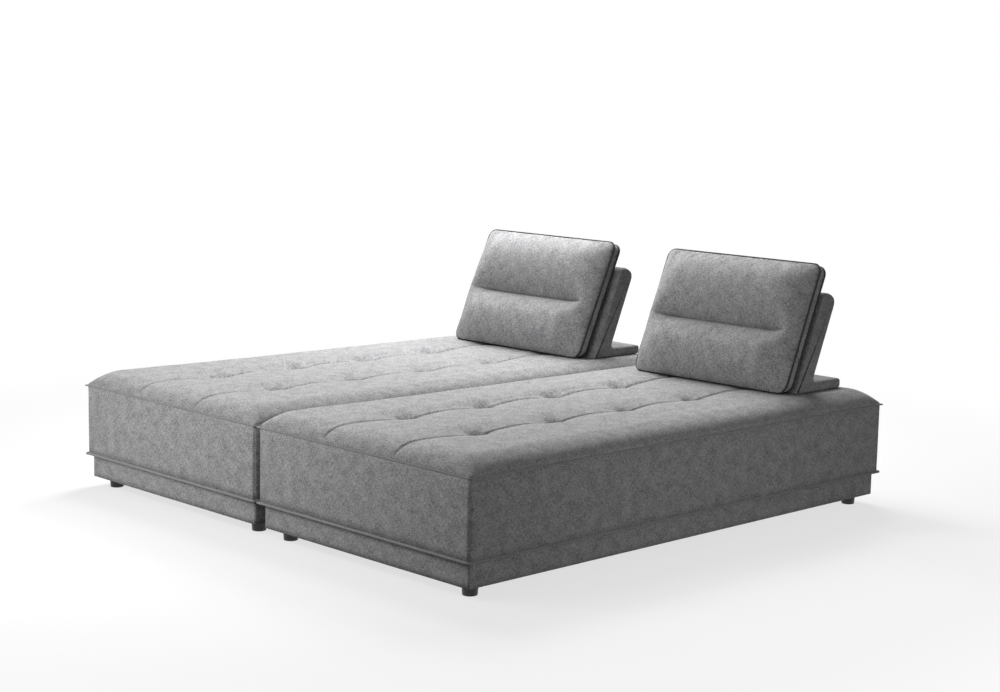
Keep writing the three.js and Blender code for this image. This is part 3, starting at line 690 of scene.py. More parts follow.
class SOFA_OT_plinths(bpy.types.Operator):
    """Covers the set-back plinths, with the cloth turned in under their rails"""

    bl_idname = "sofa.plinths"
    bl_label = "Plinths"

    def execute(self, context):
        sizes, colours = context.scene.sofa_sizes, context.scene.sofa_colours
        # Woven upholstery cloth, stapled tight over timber: matt, mottled and nearly flat
        cloth = heather_weave("Heather linen-look weave", colours)
        half_x = sizes.seat_width / 2 - sizes.plinth_inset
        half_y = sizes.seat_length / 2 - sizes.plinth_inset
        low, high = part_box("left_plinth_cover")
        # Thickness of the skirt, and how far it is turned in under the rails
        skirt, turn = 0.003, 0.018
        # The cloth wavers, less so near its corners, which are folded sharp
        waver, corner_hold, side_depth = 0.0007, 0.04, 0.01
        corner_crease, crease_width = 0.0012, 0.003
        for number, side in enumerate(SIDES):
            bm = loop_outline(rectangle_path(half_x, half_y, sizes.plinth_corner))
            bmesh.ops.translate(bm, vec=(0, 0, high.z), verts=bm.verts)
            top_loop = list(bm.edges)
            rim = pull_straight(bm, top_loop, high.z, low.z, 4)
            for vert in bm.verts:
                x, y, z = vert.co
                inward = max(half_x - abs(x), half_y - abs(y))
                hold = min(inward / corner_hold, 1)
                wave = waver * hold * ripple(x, y, z, 0.1, 7 + number)
                vert.co.x += math.copysign(wave, x) if half_x - abs(x) < side_depth else 0
                vert.co.y += math.copysign(wave, y) if half_y - abs(y) < side_depth else 0
                crease = corner_crease * bell(inward / crease_width)
                vert.co -= Vector((math.copysign(crease, x), math.copysign(crease, y), 0))
            inset = inset_from(half_x, half_y)
            rim = pull_rim(bm, rim, lambda co: inset(co, skirt + turn, low.z))
            rim = pull_rim(bm, rim, lambda co: inset(co, 0, low.z + skirt))
            rim = pull_rim(bm, rim, lambda co: inset(co, -turn, low.z + skirt))
            rim = pull_rim(bm, rim, lambda co: inset(co, 0, high.z))
            bmesh.ops.bridge_loops(bm, edges=rim + [e for e in top_loop if e.is_valid])
            bmesh.ops.recalc_face_normals(bm, faces=bm.faces)
            layer = bm.loops.layers.uv.new(WEAVE_MAP)
            lay_weave(bm, bm.faces, layer)
            bmesh.ops.translate(bm, vec=(middle(f"{side}_seat_cover").x, 0, 0), verts=bm.verts)
            finish_piece(
                f"{side}_plinth_skirt", bm, f"{side}_module", cloth,
                [f"{side}_plinth_cover"],
            )
        return {"FINISHED"}


class SOFA_OT_dust_sheets(bpy.types.Operator):
    """Stretches the dust sheets under the plinths"""

    bl_idname = "sofa.dust_sheets"
    bl_label = "Dust sheets"

    def execute(self, context):
        # Spunbond polypropylene, black: thin and dull, with a faint fibrous grain of 1.7 mm
        black = context.scene.sofa_colours.dust_sheet
        spunbond = speckled(
            "Spunbond polypropylene", black, roughness=0.9, grains=600, variation=0.25, depth=0.0002
        )
        # Half width of the square hole for a stud
        opening = 0.0055
        # The sheet lies flat on the rails and round the studs, and sags between them
        sag, waver, rail_width, block_width = 0.003, 0.0012, 0.025, 0.03
        for number, side in enumerate(SIDES):
            low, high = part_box(f"{side}_dust_cover")
            centre, half = (low + high) / 2, (high - low) / 2
            bm = bmesh.new()
            bmesh.ops.create_grid(bm, x_segments=44, y_segments=88, size=1)
            bmesh.ops.scale(bm, vec=(half.x, half.y, 1), verts=bm.verts)
            studs = []
            for corner in CORNERS:
                studs.append(middle(f"{side}_foot_{corner}") - centre)
            # Two opposite studs lie on the lines of all four
            for stud in (studs[0], studs[3]):
                for axis, at in ((0, stud.x), (1, stud.y)):
                    for edge in (at - opening, at + opening):
                        point, normal = Vector((0, 0, 0)), Vector((0, 0, 0))
                        point[axis], normal[axis] = edge, 1
                        geom = bm.verts[:] + bm.edges[:] + bm.faces[:]
                        bmesh.ops.bisect_plane(
                            bm, geom=geom, dist=0.00001, plane_co=point, plane_no=normal
                        )
            holes = []
            for face in bm.faces:
                at = face.calc_center_median()
                if any(max(abs(at.x - stud.x), abs(at.y - stud.y)) < opening for stud in studs):
                    holes.append(face)
            bmesh.ops.delete(bm, geom=holes, context="FACES")
            for vert in bm.verts:
                inward = min(half.x - abs(vert.co.x), half.y - abs(vert.co.y))
                clear = min(max(abs(vert.co.x - stud.x), abs(vert.co.y - stud.y)) for stud in studs)
                slack = smooth(inward - rail_width, 0.2) * smooth(clear - block_width, 0.1)
                wave = waver * ripple(vert.co.x, vert.co.y, number, 0.15, 5)
                vert.co.z = -(sag + wave) * slack
            bmesh.ops.solidify(bm, geom=bm.faces[:], thickness=0.0007)
            bmesh.ops.recalc_face_normals(bm, faces=bm.faces)
            bmesh.ops.translate(bm, vec=(centre.x, centre.y, centre.z), verts=bm.verts)
            sheet = finish_piece(
                f"{side}_dust_sheet", bm, f"{side}_module", spunbond,
                [f"{side}_dust_cover"],
            )
        return {"FINISHED"}


class SOFA_OT_feet(bpy.types.Operator):
    """Turns the black moulded feet"""

    bl_idname = "sofa.feet"
    bl_label = "Feet"

    def execute(self, context):
        sizes, colours = context.scene.sofa_sizes, context.scene.sofa_colours
        # Injection-moulded ABS: faint texture of 1.1 mm and a soft satin edge
        plastic = speckled(
            "Moulded black ABS", colours.foot, roughness=0.42, grains=900, variation=0.1, depth=0.00005
        )
        for side in SIDES:
            for corner in CORNERS:
                node = f"{side}_foot_{corner}"
                low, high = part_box(node)
                centre = (low + high) / 2
                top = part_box(f"{side}_dust_cover")[0].z - CLEARANCE
                radius = sizes.foot_radius
                # Radius and height of each point: sole, flared side, top and stud
                outline = [
                    (0.0005, 0), (radius - 0.0055, 0), (radius - 0.0038, 0.0006), (radius - 0.003, 0.0022),
                    (radius - 0.0012, top - 0.0072), (radius - 0.0004, top - 0.006), (radius, top - 0.0045),
                    (radius, top - 0.0012), (radius - 0.001, top), (0.0045, top), (0.004, top),
                    (0.004, high.z - 0.001), (0.0032, high.z), (0.0005, high.z),
                ]
                bm = bmesh.new()
                verts = [bm.verts.new((r, 0, z)) for r, z in outline]
                edges = [bm.edges.new(pair) for pair in zip(verts, verts[1:])]
                bmesh.ops.spin(
                    bm, geom=verts + edges, cent=(0, 0, 0), axis=(0, 0, 1),
                    angle=2 * math.pi, steps=48, use_merge=True,
                )
                bmesh.ops.remove_doubles(bm, verts=bm.verts, dist=0.00001)
                bmesh.ops.holes_fill(bm, edges=bm.edges)
                bmesh.ops.recalc_face_normals(bm, faces=bm.faces)
                bmesh.ops.translate(bm, vec=(centre.x, centre.y, 0), verts=bm.verts)
                finish_piece(
                    f"{side}_puck_{corner}", bm, f"{side}_module", plastic, [node]
                )
        return {"FINISHED"}


# Back supports


def round_outline(corners, steps=8):
    """Points through corners (y, z, reach), each turned with a curve of that reach."""
    points = []
    for i, (y, z, reach) in enumerate(corners):
        corner = Vector((y, z))
        before = Vector(corners[i - 1][:2])
        after = Vector(corners[(i + 1) % len(corners)][:2])
        start = corner + (before - corner).normalized() * reach
        end = corner + (after - corner).normalized() * reach
        if reach <= 0:
            points.append(corner)
            continue
        for k in range(steps + 1):
            t = k / steps
            points.append(start * (1 - t) ** 2 + corner * 2 * t * (1 - t) + end * t * t)
    return points


def slope_point(offset, rise, lean):
    """Place (y, z) at a rise up the leaning upright, offset back from its front face."""
    return (
        offset * math.cos(lean) + rise * math.sin(lean),
        rise * math.cos(lean) - offset * math.sin(lean),
    )


class SOFA_OT_supports(bpy.types.Operator):
    """Covers the L-shaped back supports"""

    bl_idname = "sofa.supports"
    bl_label = "Back supports"

    def execute(self, context):
        sizes, colours = context.scene.sofa_sizes, context.scene.sofa_colours
        # Woven upholstery cloth, drawn tight over foam and steel: matt and mottled, a shade darker
        cloth = heather_weave("Heather weave of the supports", colours, shade=0.86)
        lean = sizes.lean
        for number, side in enumerate(SIDES):
            low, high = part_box(f"{side}_support_cover")
            centre = (low + high) / 2
            front = high.y - sizes.base_depth
            heel = sizes.support_depth / math.cos(lean) + sizes.base_height * math.tan(lean)
            corners = [
                (0, 0, sizes.base_toe),
                (sizes.base_depth, 0, sizes.base_nose),
                (sizes.base_depth, sizes.base_height, sizes.base_nose),
                (heel, sizes.base_height, sizes.heel_reach),
                (*slope_point(sizes.support_depth, sizes.support_rise, lean), sizes.head_rear),
                (*slope_point(0, sizes.support_rise, lean), sizes.head_front),
            ]
            points = [(0, p[0] + front, p[1] + low.z) for p in round_outline(corners)]
            bm = loop_outline(points)
            cap = bmesh.ops.contextual_create(bm, geom=list(bm.edges))["faces"]
            columns = 26
            width = sizes.support_width
            bmesh.ops.translate(bm, vec=(centre.x - width / 2, 0, 0), verts=bm.verts)
            for _ in range(columns):
                made = bmesh.ops.extrude_face_region(bm, geom=cap)["geom"]
                cap = [item for item in made if isinstance(item, bmesh.types.BMFace)]
                moved = [item for item in made if isinstance(item, bmesh.types.BMVert)]
                bmesh.ops.translate(bm, vec=(width / columns, 0, 0), verts=moved)
            stale = [
                f for f in bm.faces
                if abs(f.normal.x) > 0.9 and low.x + 0.001 < f.calc_center_median().x < high.x - 0.001
            ]
            bmesh.ops.delete(bm, geom=stale, context="FACES_ONLY")
            bmesh.ops.recalc_face_normals(bm, faces=bm.faces)
            ends = [
                edge for edge in bm.edges
                if all(abs(abs(v.co.x - centre.x) - width / 2) < 1e-5 for v in edge.verts)
            ]
            bmesh.ops.bevel(
                bm, geom=ends, offset=sizes.side_rounding, segments=4, profile=0.5,
                affect="EDGES", material=-1,
            )
            for vert in bm.verts:
                x, y, z = vert.co
                # The cover wavers everywhere but on its sole
                if z > low.z + 0.002:
                    wave = 0.0008 * ripple(x, y, z, 0.11, 11 + number)
                    vert.co += Vector((0, -wave * math.cos(lean), wave * math.sin(lean)))
            bmesh.ops.remove_doubles(bm, verts=bm.verts, dist=0.00002)
            bmesh.ops.recalc_face_normals(bm, faces=bm.faces)
            under = [
                face for face in bm.faces
                if face.normal.z < -0.999 and face.calc_center_median().z < low.z + 0.0005
            ]
            under = bmesh.ops.dissolve_faces(bm, faces=under, use_verts=False)["region"]
            bm.normal_update()
            # A recess 5.6 mm deep, in which the grip pad lies
            for thickness, depth in ((sizes.pad_inset, 0), (0.0004, -0.0056)):
                bmesh.ops.inset_individual(bm, faces=under, thickness=thickness, depth=depth)
            layer = bm.loops.layers.uv.new(WEAVE_MAP)
            lay_weave(bm, bm.faces, layer)
            piece = finish_piece(
                f"{side}_support_upholstery", bm, f"{side}_support", cloth,
                [f"{side}_support_cover", f"{side}_support_foam"],
            )
        return {"FINISHED"}


class SOFA_OT_grip_pads(bpy.types.Operator):
    """Glues the grip pads under the back supports"""

    bl_idname = "sofa.grip_pads"
    bl_label = "Grip pads"

    def execute(self, context):
        # Needled felt with a rubber coat: matt, with a fibrous surface of 1.2 mm grain
        black = context.scene.sofa_colours.felt
        felt = speckled(
            "Rubberised felt", black, roughness=0.95, grains=800, variation=0.3, depth=0.0004
        )
        for side in SIDES:
            low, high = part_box(f"{side}_antislip_pad")
            bm = bmesh.new()
            bmesh.ops.create_cube(bm, size=1)
            bmesh.ops.scale(bm, vec=high - low, verts=bm.verts)
            bmesh.ops.bevel(
                bm, geom=list(bm.edges), offset=0.0012, segments=3, profile=0.5,
                affect="EDGES", material=-1,
            )
            bmesh.ops.translate(bm, vec=(low + high) / 2, verts=bm.verts)
            pad = finish_piece(
                f"{side}_grip_pad", bm, f"{side}_support", felt, [f"{side}_antislip_pad"]
            )
        return {"FINISHED"}


# Cushions


def arc(share):
    """Height of a stuffed lobe from one seam to the next, 1 at its middle."""
    share = min(max(share, 0), 1)
    return (4 * share * (1 - share)) ** 0.85


def front_seam(sizes):
    """Height of a cushion's front piping over its flat back."""
    return CUSHION_BACK + sizes.gusset + 2 * NOTCH


def cushion_height_at(x, y, sizes, seed):
    """How far the cushion's front panel stands out at a place on it."""
    half_x, half_y = sizes.cushion_width / 2, sizes.cushion_height / 2
    # The panel leaves the piping 2 mm over its middle
    rim = front_seam(sizes) + 0.002
    from_channel = y - sizes.channel_place
    if from_channel > 0:
        share, rise = from_channel / (half_y - sizes.channel_place), sizes.upper_crown
    else:
        share, rise = -from_channel / (half_y + sizes.channel_place), sizes.lower_crown
    floor = sizes.channel_floor * (1 - share)
    lobe = floor + (rise - floor) * arc(share)
    # Beside the sewing, the two lobes run into one
    whole = (sizes.upper_crown + sizes.lower_crown) / 2 * arc((y + half_y) / sizes.cushion_height) ** 0.7
    sewn = smooth(half_x - abs(x) - sizes.channel_margin + 0.03, 0.11)
    # A sharp crease at the stitches, in a softer valley
    crease_width, valley_width, side_fall = 0.0045, 0.018, 0.125
    stitch = bell(from_channel / crease_width) * (1 + 0.4 * ripple(x, y, 0, 0.02, seed))
    stitch *= sizes.stitch_depth
    stitch += 1.2 * sizes.stitch_depth * bell(from_channel / valley_width)
    uneven = 0.0012 * ripple(x, y, 1, 0.13, seed) + 0.0005 * ripple(x, y, 2, 0.05, seed)
    across = soft_share(half_x - abs(x), side_fall)
    stitch *= smooth(half_x - abs(x) - sizes.channel_margin, 0.03)
    height = sewn * lobe + (1 - sewn) * whole - stitch
    return rim + (height + uneven * arc((y + half_y) / sizes.cushion_height)) * across


def settle(co, sizes, lean, reach=0.13):
    """The foot of the cushion sinks level onto the seat, less and less up to its reach."""
    height = co.y + sizes.cushion_height / 2
    share = min(max(1 - height / reach, 0), 1) ** 2
    co.y -= co.z * math.tan(lean) * share


def piping_stand(sizes):
    """How far the piping's middle stands out from the gusset, in its notch."""
    return (sizes.welt_radius + CLEARANCE) * math.sqrt(2) - NOTCH


def cushion_lean(side, sizes):
    """Lean of a cushion, its support's and what it leans more."""
    return sizes.lean + sizes.extra_lean[SIDES.index(side)]


def cushion_matrix(side, sizes):
    """From the lying cushion to its place, where it touches the head of its support."""
    low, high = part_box(f"{side}_support_cover")
    proud = piping_stand(sizes)
    lean = cushion_lean(side, sizes)
    touch = slope_point(-CLEARANCE, sizes.support_rise - sizes.head_front, sizes.lean)
    reach = (touch[1] - CLEARANCE * math.sin(lean)) / math.cos(lean)
    along = proud + sizes.welt_radius + CLEARANCE + sizes.cushion_height / 2 - reach
    place = Vector((
        middle(f"{side}_cushion_cover").x,
        high.y - sizes.base_depth + touch[0] + along * math.sin(lean),
        low.z + touch[1] + along * math.cos(lean),
    ))
    return Matrix.Translation(place) @ Matrix.Rotation(math.pi / 2 - lean, 4, "X")


def cushion_panel(bm, sizes, columns, rows, height):
    """One rounded face of the cushion; height gives each point's place out of it."""
    made = bmesh.ops.create_grid(bm, x_segments=columns, y_segments=rows, size=0.5)["verts"]
    for vert in made:
        x = vert.co.x * sizes.cushion_width
        lie = vert.co.y * sizes.cushion_height
        y = crowd(lie, sizes.cushion_height / 2, strength=0.55, start=0)
        vert.co = Vector((x, y, height(x, y)))
    return made


def build_cushion(sizes, lean, seed):
    """Front panel, gusset and flat back of one cushion, lying on its back."""
    half_x, half_y = sizes.cushion_width / 2, sizes.cushion_height / 2
    front = front_seam(sizes)
    bm = bmesh.new()
    layer = bm.loops.layers.uv.new(WEAVE_MAP)
    cushion_panel(bm, sizes, 112, 84, lambda x, y: cushion_height_at(x, y, sizes, seed))
    for face in bm.faces:
        for loop in face.loops:
            loop[layer].uv = loop.vert.co.xy
    for vert in bm.verts:
        vert.co.x, vert.co.y = rounded_place(
            vert.co.x, vert.co.y, half_x, half_y, sizes.cushion_corner
        )
    panel = set(bm.faces)

    def sewn(co):
        on_line = abs(co.y - sizes.channel_place) < 0.003
        return on_line and half_x - abs(co.x) > sizes.channel_margin

    blow_up(bm, sewn, most=0.009, slack=0.003)

    inset = inset_from(half_x, half_y)
    rim = pull_rim(bm, rim_edges(bm), lambda co: inset(co, NOTCH, front))
    rim = pull_rim(bm, rim, lambda co: inset(co, -NOTCH, front - NOTCH))
    rim = pull_straight(bm, rim, front - NOTCH, CUSHION_BACK + NOTCH, 4)
    rim = pull_rim(bm, rim, lambda co: inset(co, NOTCH, CUSHION_BACK))
    rim = pull_rim(bm, rim, lambda co: inset(co, -NOTCH, CUSHION_BACK - NOTCH))
    # The back curls in from its piping in two steps, and is flat from there
    rim = pull_rim(bm, rim, lambda co: inset(co, 0.006, 0.0016))
    rim = pull_rim(bm, rim, lambda co: inset(co, 0.008, 0.0002))
    bmesh.ops.contextual_create(bm, geom=rim)
    for vert in bm.verts:
        settle(vert.co, sizes, lean)
    bmesh.ops.recalc_face_normals(bm, faces=bm.faces)
    lay_weave(bm, [face for face in bm.faces if face not in panel], layer)
    return bm


class SOFA_OT_cushions(bpy.types.Operator):
    """Fills the back cushions and sews their channels"""

    bl_idname = "sofa.cushions"
    bl_label = "Back cushions"

    def execute(self, context):
        sizes, colours = context.scene.sofa_sizes, context.scene.sofa_colours
        # Woven upholstery cloth, loose over a soft filling: matt and mottled, with slow dents
        cloth = heather_weave("Heather linen-look weave", colours)
        for number, side in enumerate(SIDES):
            bm = build_cushion(sizes, cushion_lean(side, sizes), 21 + 6 * number)
            bmesh.ops.transform(bm, matrix=cushion_matrix(side, sizes), verts=bm.verts)
            piece = finish_piece(
                f"{side}_cushion_upholstery", bm, f"{side}_cushion", cloth,
                [f"{side}_cushion_cover", f"{side}_cushion_core"],
            )
        return {"FINISHED"}


class SOFA_OT_cushion_zips(bpy.types.Operator):
    """Sews the zip into the lower side of each cushion's gusset"""

    bl_idname = "sofa.cushion_zips"
    bl_label = "Cushion zips"

    def execute(self, context):
        sizes, colours = context.scene.sofa_sizes, context.scene.sofa_colours
        # Woven polyester tape with a nylon coil, black: dull, with small teeth along its middle
        tape = speckled(
            "Zip tape", colours.dust_sheet, roughness=0.8, grains=900, variation=0.2, depth=0.0002
        )
        half_long, half_wide, teeth = span("left_cushion_zip").x / 2, 0.005, 160
        coil_height, coil_half_width = 0.0013, 0.0018
        foot = -sizes.cushion_height / 2
        place = CUSHION_BACK + NOTCH + sizes.gusset / 2
        for side in SIDES:
            bm = bmesh.new()
            bmesh.ops.create_grid(bm, x_segments=2 * teeth, y_segments=6, size=0.5)
            step = half_long / teeth
            for vert in bm.verts:
                x, z = vert.co.x * 2 * half_long, vert.co.y * 2 * half_wide
                tooth = 0.6 + 0.4 * (-1) ** round(x / step)
                coil = coil_height * (abs(z) < coil_half_width) * tooth
                vert.co = Vector((x, foot - 0.0006 - coil, place + z))
            rim = pull_rim(bm, rim_edges(bm), lambda co: Vector((co.x, foot + 0.001, co.z)))
            ends = [edge for edge in rim if abs(edge.verts[0].co.x - edge.verts[1].co.x) < step / 2]
            bmesh.ops.grid_fill(bm, edges=ends, use_interp_simple=True)
            bmesh.ops.recalc_face_normals(bm, faces=bm.faces)
            for vert in bm.verts:
                settle(vert.co, sizes, cushion_lean(side, sizes))
            bmesh.ops.transform(bm, matrix=cushion_matrix(side, sizes), verts=bm.verts)
            finish_piece(
                f"{side}_zip_tape", bm, f"{side}_cushion", tape, [f"{side}_cushion_zip"],
                smooth=False,
            )
        return {"FINISHED"}


class SOFA_OT_cushion_piping(bpy.types.Operator):
    """Pipes both edges of each cushion's gusset"""

    bl_idname = "sofa.cushion_piping"
    bl_label = "Cushion piping"

    def execute(self, context):
        sizes, colours = context.scene.sofa_sizes, context.scene.sofa_colours
        # Cotton twill sewn over a cord: matt charcoal with a fine grain of 0.7 mm
        twill = speckled(
            "Charcoal twill", colours.piping, roughness=0.85, grains=1400, variation=0.35, depth=0.0002
        )
        proud = piping_stand(sizes)
        half_x = sizes.cushion_width / 2 + proud
        half_y = sizes.cushion_height / 2 + proud
        for side in SIDES:
            for node, height in (("front", front_seam(sizes)), ("back", CUSHION_BACK)):
                path = rectangle_path(half_x, half_y, sizes.cushion_corner + proud, 0.012)
                for point in path:
                    # The cord wavers by 0.3 mm
                    point.z = height + 0.0003 * ripple(point.x, point.y, height, 0.05, 4)
                    settle(point, sizes, cushion_lean(side, sizes))
                mesh = cord_mesh(f"{side}_{node}_cord", path, sizes.piping_radius)
                mesh.transform(cushion_matrix(side, sizes))
                finish_mesh(
                    f"{side}_cushion_{node}_piping", mesh, f"{side}_cushion", twill,
                    [f"{side}_cushion_{node}_welt"],
                )
        return {"FINISHED"}


# Carried parts


class SOFA_OT_inner_parts(bpy.types.Operator):
    """Finishes the timber, foam, webbing and steel inside the sofa"""

    bl_idname = "sofa.inner_parts"
    bl_label = "Inner parts"

    def execute(self, context):
        colours = context.scene.sofa_colours
        # Planed pine: pale and dull, with streaks 33 mm long and 3 mm wide along the module's width
        timber = speckled(
            "Planed pine", colours.timber, roughness=0.6, grains=30, variation=0.22, depth=0.0002,
            stretch=(1, 12, 12),
        )
        # Cut polyurethane foam: cream, matt and pitted, with cells of 1.4 mm
        foam = speckled(
            "Open-cell foam", colours.foam, roughness=0.95, grains=700, variation=0.08, depth=0.0006
        )
        # Woven rubber and jute: brown and rough, with a grain of 2 mm
        webbing = speckled(
            "Woven elastic webbing", colours.webbing, roughness=0.85, grains=500, variation=0.3,
            depth=0.0003,
        )
        # Powder coat on steel: even grey with a slight sheen and an orange peel of 0.8 mm
        steel = speckled(
            "Grey powder coat", colours.steel, roughness=0.5, grains=1200, variation=0.05, depth=0.00005
        )
        finishes = {
            "frame_timber": timber,
            "upholstery_foam": foam,
            "elastic_webbing": webbing,
            "frame_steel": steel,
        }
        slots = {row["node"]: row["material_slot"] for row in frame["record"]["subparts"]}
        for name, node in frame["nodes"].items():
            if slots[name] in finishes:
                node.data.materials.clear()
                node.data.materials.append(finishes[slots[name]])
        return {"FINISHED"}


# Stage


# Soft boxes of the studio: name, place, aim, diameter in metres and power
LAMPS = (
    ("key", (-1.6, 1.2, 2.4), (0, 0, 0.4), 1.2, 57),
    ("over_left", (-1.4, 0.2, 2.8), (-0.2, 0.3, 0.4), 1.0, 47),
    ("rear_top", (-0.6, 2.0, 2.6), (0, 0, 0.4), 1.4, 43),
    ("front_high", (-0.5, -2.2, 1.1), (-0.1, -0.95, 0.35), 0.8, 11),
    ("front_right", (0.5, -2.0, 1.3), (0.4, -0.95, 0.4), 0.7, 4.7),
    ("front_low", (-1.2, -2.3, 0.2), (-0.3, -0.95, 0.25), 0.8, 10.5),
    ("low_right", (3.3, -0.1, 0.35), (0.9, 0.0, 0.25), 1.0, 14.5),
)


# The photograph's camera, fitted to points measured on it: turns in degrees, place in metres
CAMERA_YAW, CAMERA_PITCH, CAMERA_ROLL = 43.37, 8.05, 1.60
CAMERA_PLACE = (4.548, -4.256, 1.406)
# Focal length and picture width in pixels, sensor width in millimetres
CAMERA_FOCAL, PICTURE_WIDTH, SENSOR_WIDTH = 1851, 1000, 36
CAMERA_SHIFT = -0.10
# Strength of the world's light on the sofa, and share of light that the floor throws back
WORLD_LIGHT = 0.03
FLOOR_THROW = 0.16
# The floor's shading shows up to this far from the middle and is gone at the next, in metres
SHADED_TO, WHITE_FROM = 1.5, 3.2


def seen_rays(tree):
    """A factor of 1 for rays that the eye sees, also in a mirror or through glass."""
    ray = add_node(tree, "ShaderNodeLightPath")
    seen = ray.outputs["Is Camera Ray"]
    for kind in ("Is Glossy Ray", "Is Transmission Ray"):
        links = {0: seen, 1: ray.outputs[kind]}
        seen = add_node(tree, "ShaderNodeMath", links, operation="MAXIMUM").outputs[0]
    return seen


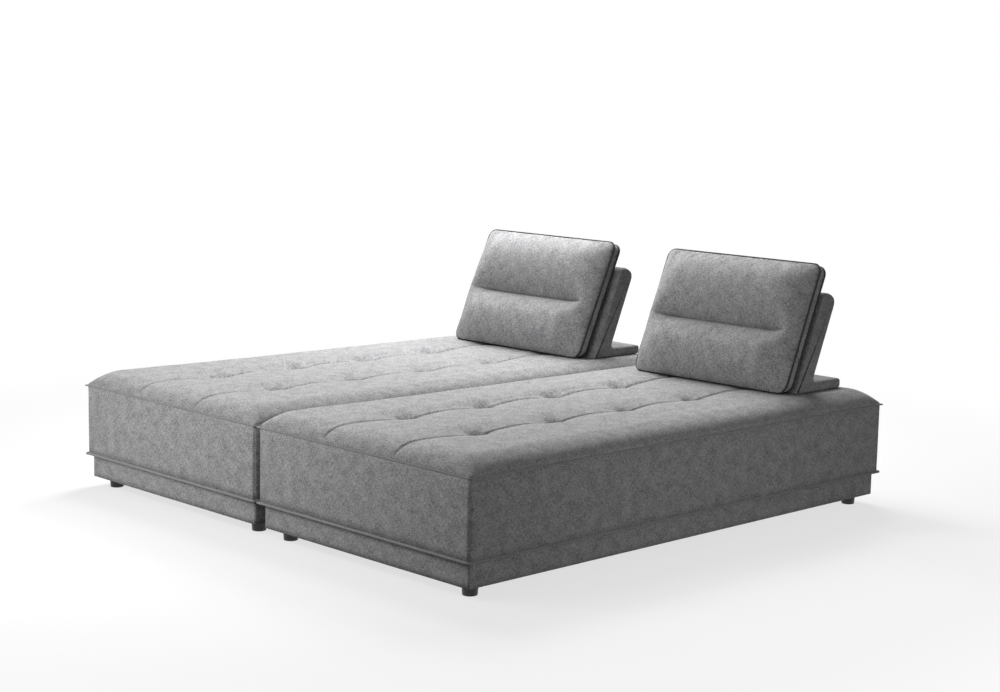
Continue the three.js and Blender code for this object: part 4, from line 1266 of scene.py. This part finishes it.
class SOFA_OT_stage(bpy.types.Operator):
    """Sets the pale floor, the soft studio light and the camera"""

    bl_idname = "sofa.stage"
    bl_label = "Stage"

    def execute(self, context):
        scene, colours = context.scene, context.scene.sofa_colours
        bm = bmesh.new()
        bmesh.ops.create_circle(bm, cap_ends=True, radius=9, segments=96)
        mesh = bpy.data.meshes.new("studio_floor")
        bm.to_mesh(mesh)
        bm.free()
        floor = bpy.data.objects.new("studio_floor", mesh)
        scene.collection.objects.link(floor)
        mesh.materials.append(self.floor_paint(colours))
        self.light_world(scene)
        self.hang_lamps(scene)
        self.place_camera(scene)
        scene.view_settings.view_transform = "Standard"
        return {"FINISHED"}

    def floor_paint(self, colours):
        """Rolled matt paint: pale with the sofa's shadow, white farther off, dark to other light."""
        material, tree, shader = new_material(
            "Matt studio paint", Roughness=0.9, Base_Color=rgba(colours.floor)
        )
        throw = add_node(tree, "ShaderNodeBsdfDiffuse", Color=rgba([FLOOR_THROW] * 3))
        white = add_node(tree, "ShaderNodeEmission", Color=(1, 1, 1, 1), Strength=1.0)
        place = add_node(tree, "ShaderNodeTexCoord").outputs["Object"]
        away = add_node(tree, "ShaderNodeVectorMath", {0: place}, operation="LENGTH")
        shaded = add_node(
            tree, "ShaderNodeMapRange", {"Value": away.outputs["Value"]},
            interpolation_type="SMOOTHSTEP",
            From_Min=SHADED_TO, From_Max=WHITE_FROM, To_Min=0.3, To_Max=0.0,
        )
        paint = add_node(
            tree, "ShaderNodeMixShader",
            {0: shaded.outputs["Result"], 1: white.outputs[0], 2: shader.outputs[0]},
        )
        links = {0: seen_rays(tree), 1: throw.outputs[0], 2: paint.outputs[0]}
        both = add_node(tree, "ShaderNodeMixShader", links)
        tree.links.new(both.outputs[0], tree.nodes["Material Output"].inputs["Surface"])
        return material

    def light_world(self, scene):
        """White to the eye, and a weak even light on the sofa."""
        world = bpy.data.worlds.new("Studio")
        scene.world = world
        world.use_nodes = True
        tree = world.node_tree
        soft = tree.nodes["Background"]
        soft.inputs["Color"].default_value = (1, 1, 1, 1)
        soft.inputs["Strength"].default_value = WORLD_LIGHT
        white = add_node(tree, "ShaderNodeBackground", Color=(1, 1, 1, 1), Strength=1.0)
        links = {0: seen_rays(tree), 1: soft.outputs[0], 2: white.outputs[0]}
        both = add_node(tree, "ShaderNodeMixShader", links)
        tree.links.new(both.outputs[0], tree.nodes["World Output"].inputs["Surface"])

    def hang_lamps(self, scene):
        """Hangs the soft boxes, each turned to its aim."""
        for name, place, aim, size, power in LAMPS:
            lamp = bpy.data.lights.new(name, "AREA")
            lamp.shape = "DISK"
            lamp.size = size
            lamp.energy = power
            holder = bpy.data.objects.new(name, lamp)
            scene.collection.objects.link(holder)
            place, aim = Vector(place), Vector(aim)
            holder.location = place
            holder.visible_camera = False
            holder.rotation_euler = (place - aim).to_track_quat("Z", "Y").to_euler()

    def place_camera(self, scene):
        """Stands the camera where the photograph was taken."""
        yaw, pitch, roll = (math.radians(turn) for turn in (CAMERA_YAW, CAMERA_PITCH, CAMERA_ROLL))
        level = math.cos(pitch)
        forward = Vector((-math.sin(yaw) * level, math.cos(yaw) * level, -math.sin(pitch)))
        right = Vector((math.cos(yaw), math.sin(yaw), 0))
        up = right.cross(forward)
        tilted_right = math.cos(roll) * right + math.sin(roll) * up
        tilted_up = math.cos(roll) * up - math.sin(roll) * right
        camera = bpy.data.cameras.new("camera")
        camera.sensor_width = SENSOR_WIDTH
        camera.sensor_fit = "HORIZONTAL"
        camera.lens = CAMERA_FOCAL / PICTURE_WIDTH * SENSOR_WIDTH
        camera.shift_x = CAMERA_SHIFT
        camera.clip_end = 100
        holder = bpy.data.objects.new("camera", camera)
        scene.collection.objects.link(holder)
        turned = Matrix((tilted_right, tilted_up, -forward)).transposed().to_4x4()
        turned.translation = Vector(CAMERA_PLACE)
        holder.matrix_world = turned
        scene.camera = holder


# Panel, registration and the run


OPERATORS = (
    SOFA_OT_stage,
    SOFA_OT_inner_parts,
    SOFA_OT_seats,
    SOFA_OT_seat_welts,
    SOFA_OT_plinths,
    SOFA_OT_dust_sheets,
    SOFA_OT_feet,
    SOFA_OT_supports,
    SOFA_OT_grip_pads,
    SOFA_OT_cushions,
    SOFA_OT_cushion_zips,
    SOFA_OT_cushion_piping,
)


class SOFA_PT_panel(bpy.types.Panel):
    """Sizes, colours and the steps that build the sofa"""

    bl_idname = "SOFA_PT_panel"
    bl_label = "Sectional sofa"
    bl_space_type = "VIEW_3D"
    bl_region_type = "UI"
    bl_category = "Sofa"

    def draw(self, context):
        for group in (context.scene.sofa_sizes, context.scene.sofa_colours):
            box = self.layout.box()
            for key in group.bl_rna.properties.keys():
                if key not in ("rna_type", "name"):
                    box.prop(group, key)
        for operator in OPERATORS:
            self.layout.operator(operator.bl_idname)


CLASSES = (SofaSizes, SofaColours, *OPERATORS, SOFA_PT_panel)


def register():
    for cls in CLASSES:
        bpy.utils.register_class(cls)
    bpy.types.Scene.sofa_sizes = bpy.props.PointerProperty(type=SofaSizes)
    bpy.types.Scene.sofa_colours = bpy.props.PointerProperty(type=SofaColours)


def unregister():
    del bpy.types.Scene.sofa_colours
    del bpy.types.Scene.sofa_sizes
    for cls in reversed(CLASSES):
        bpy.utils.unregister_class(cls)


def main():
    """Builds the sofa."""
    register()
    bpy.ops.sofa.stage()
    bpy.ops.sofa.inner_parts()
    bpy.ops.sofa.seats()
    bpy.ops.sofa.seat_welts()
    bpy.ops.sofa.plinths()
    bpy.ops.sofa.dust_sheets()
    bpy.ops.sofa.feet()
    bpy.ops.sofa.supports()
    bpy.ops.sofa.grip_pads()
    bpy.ops.sofa.cushions()
    bpy.ops.sofa.cushion_zips()
    bpy.ops.sofa.cushion_piping()
    bpy.context.view_layer.update()


if __name__ == "__main__":
    main()
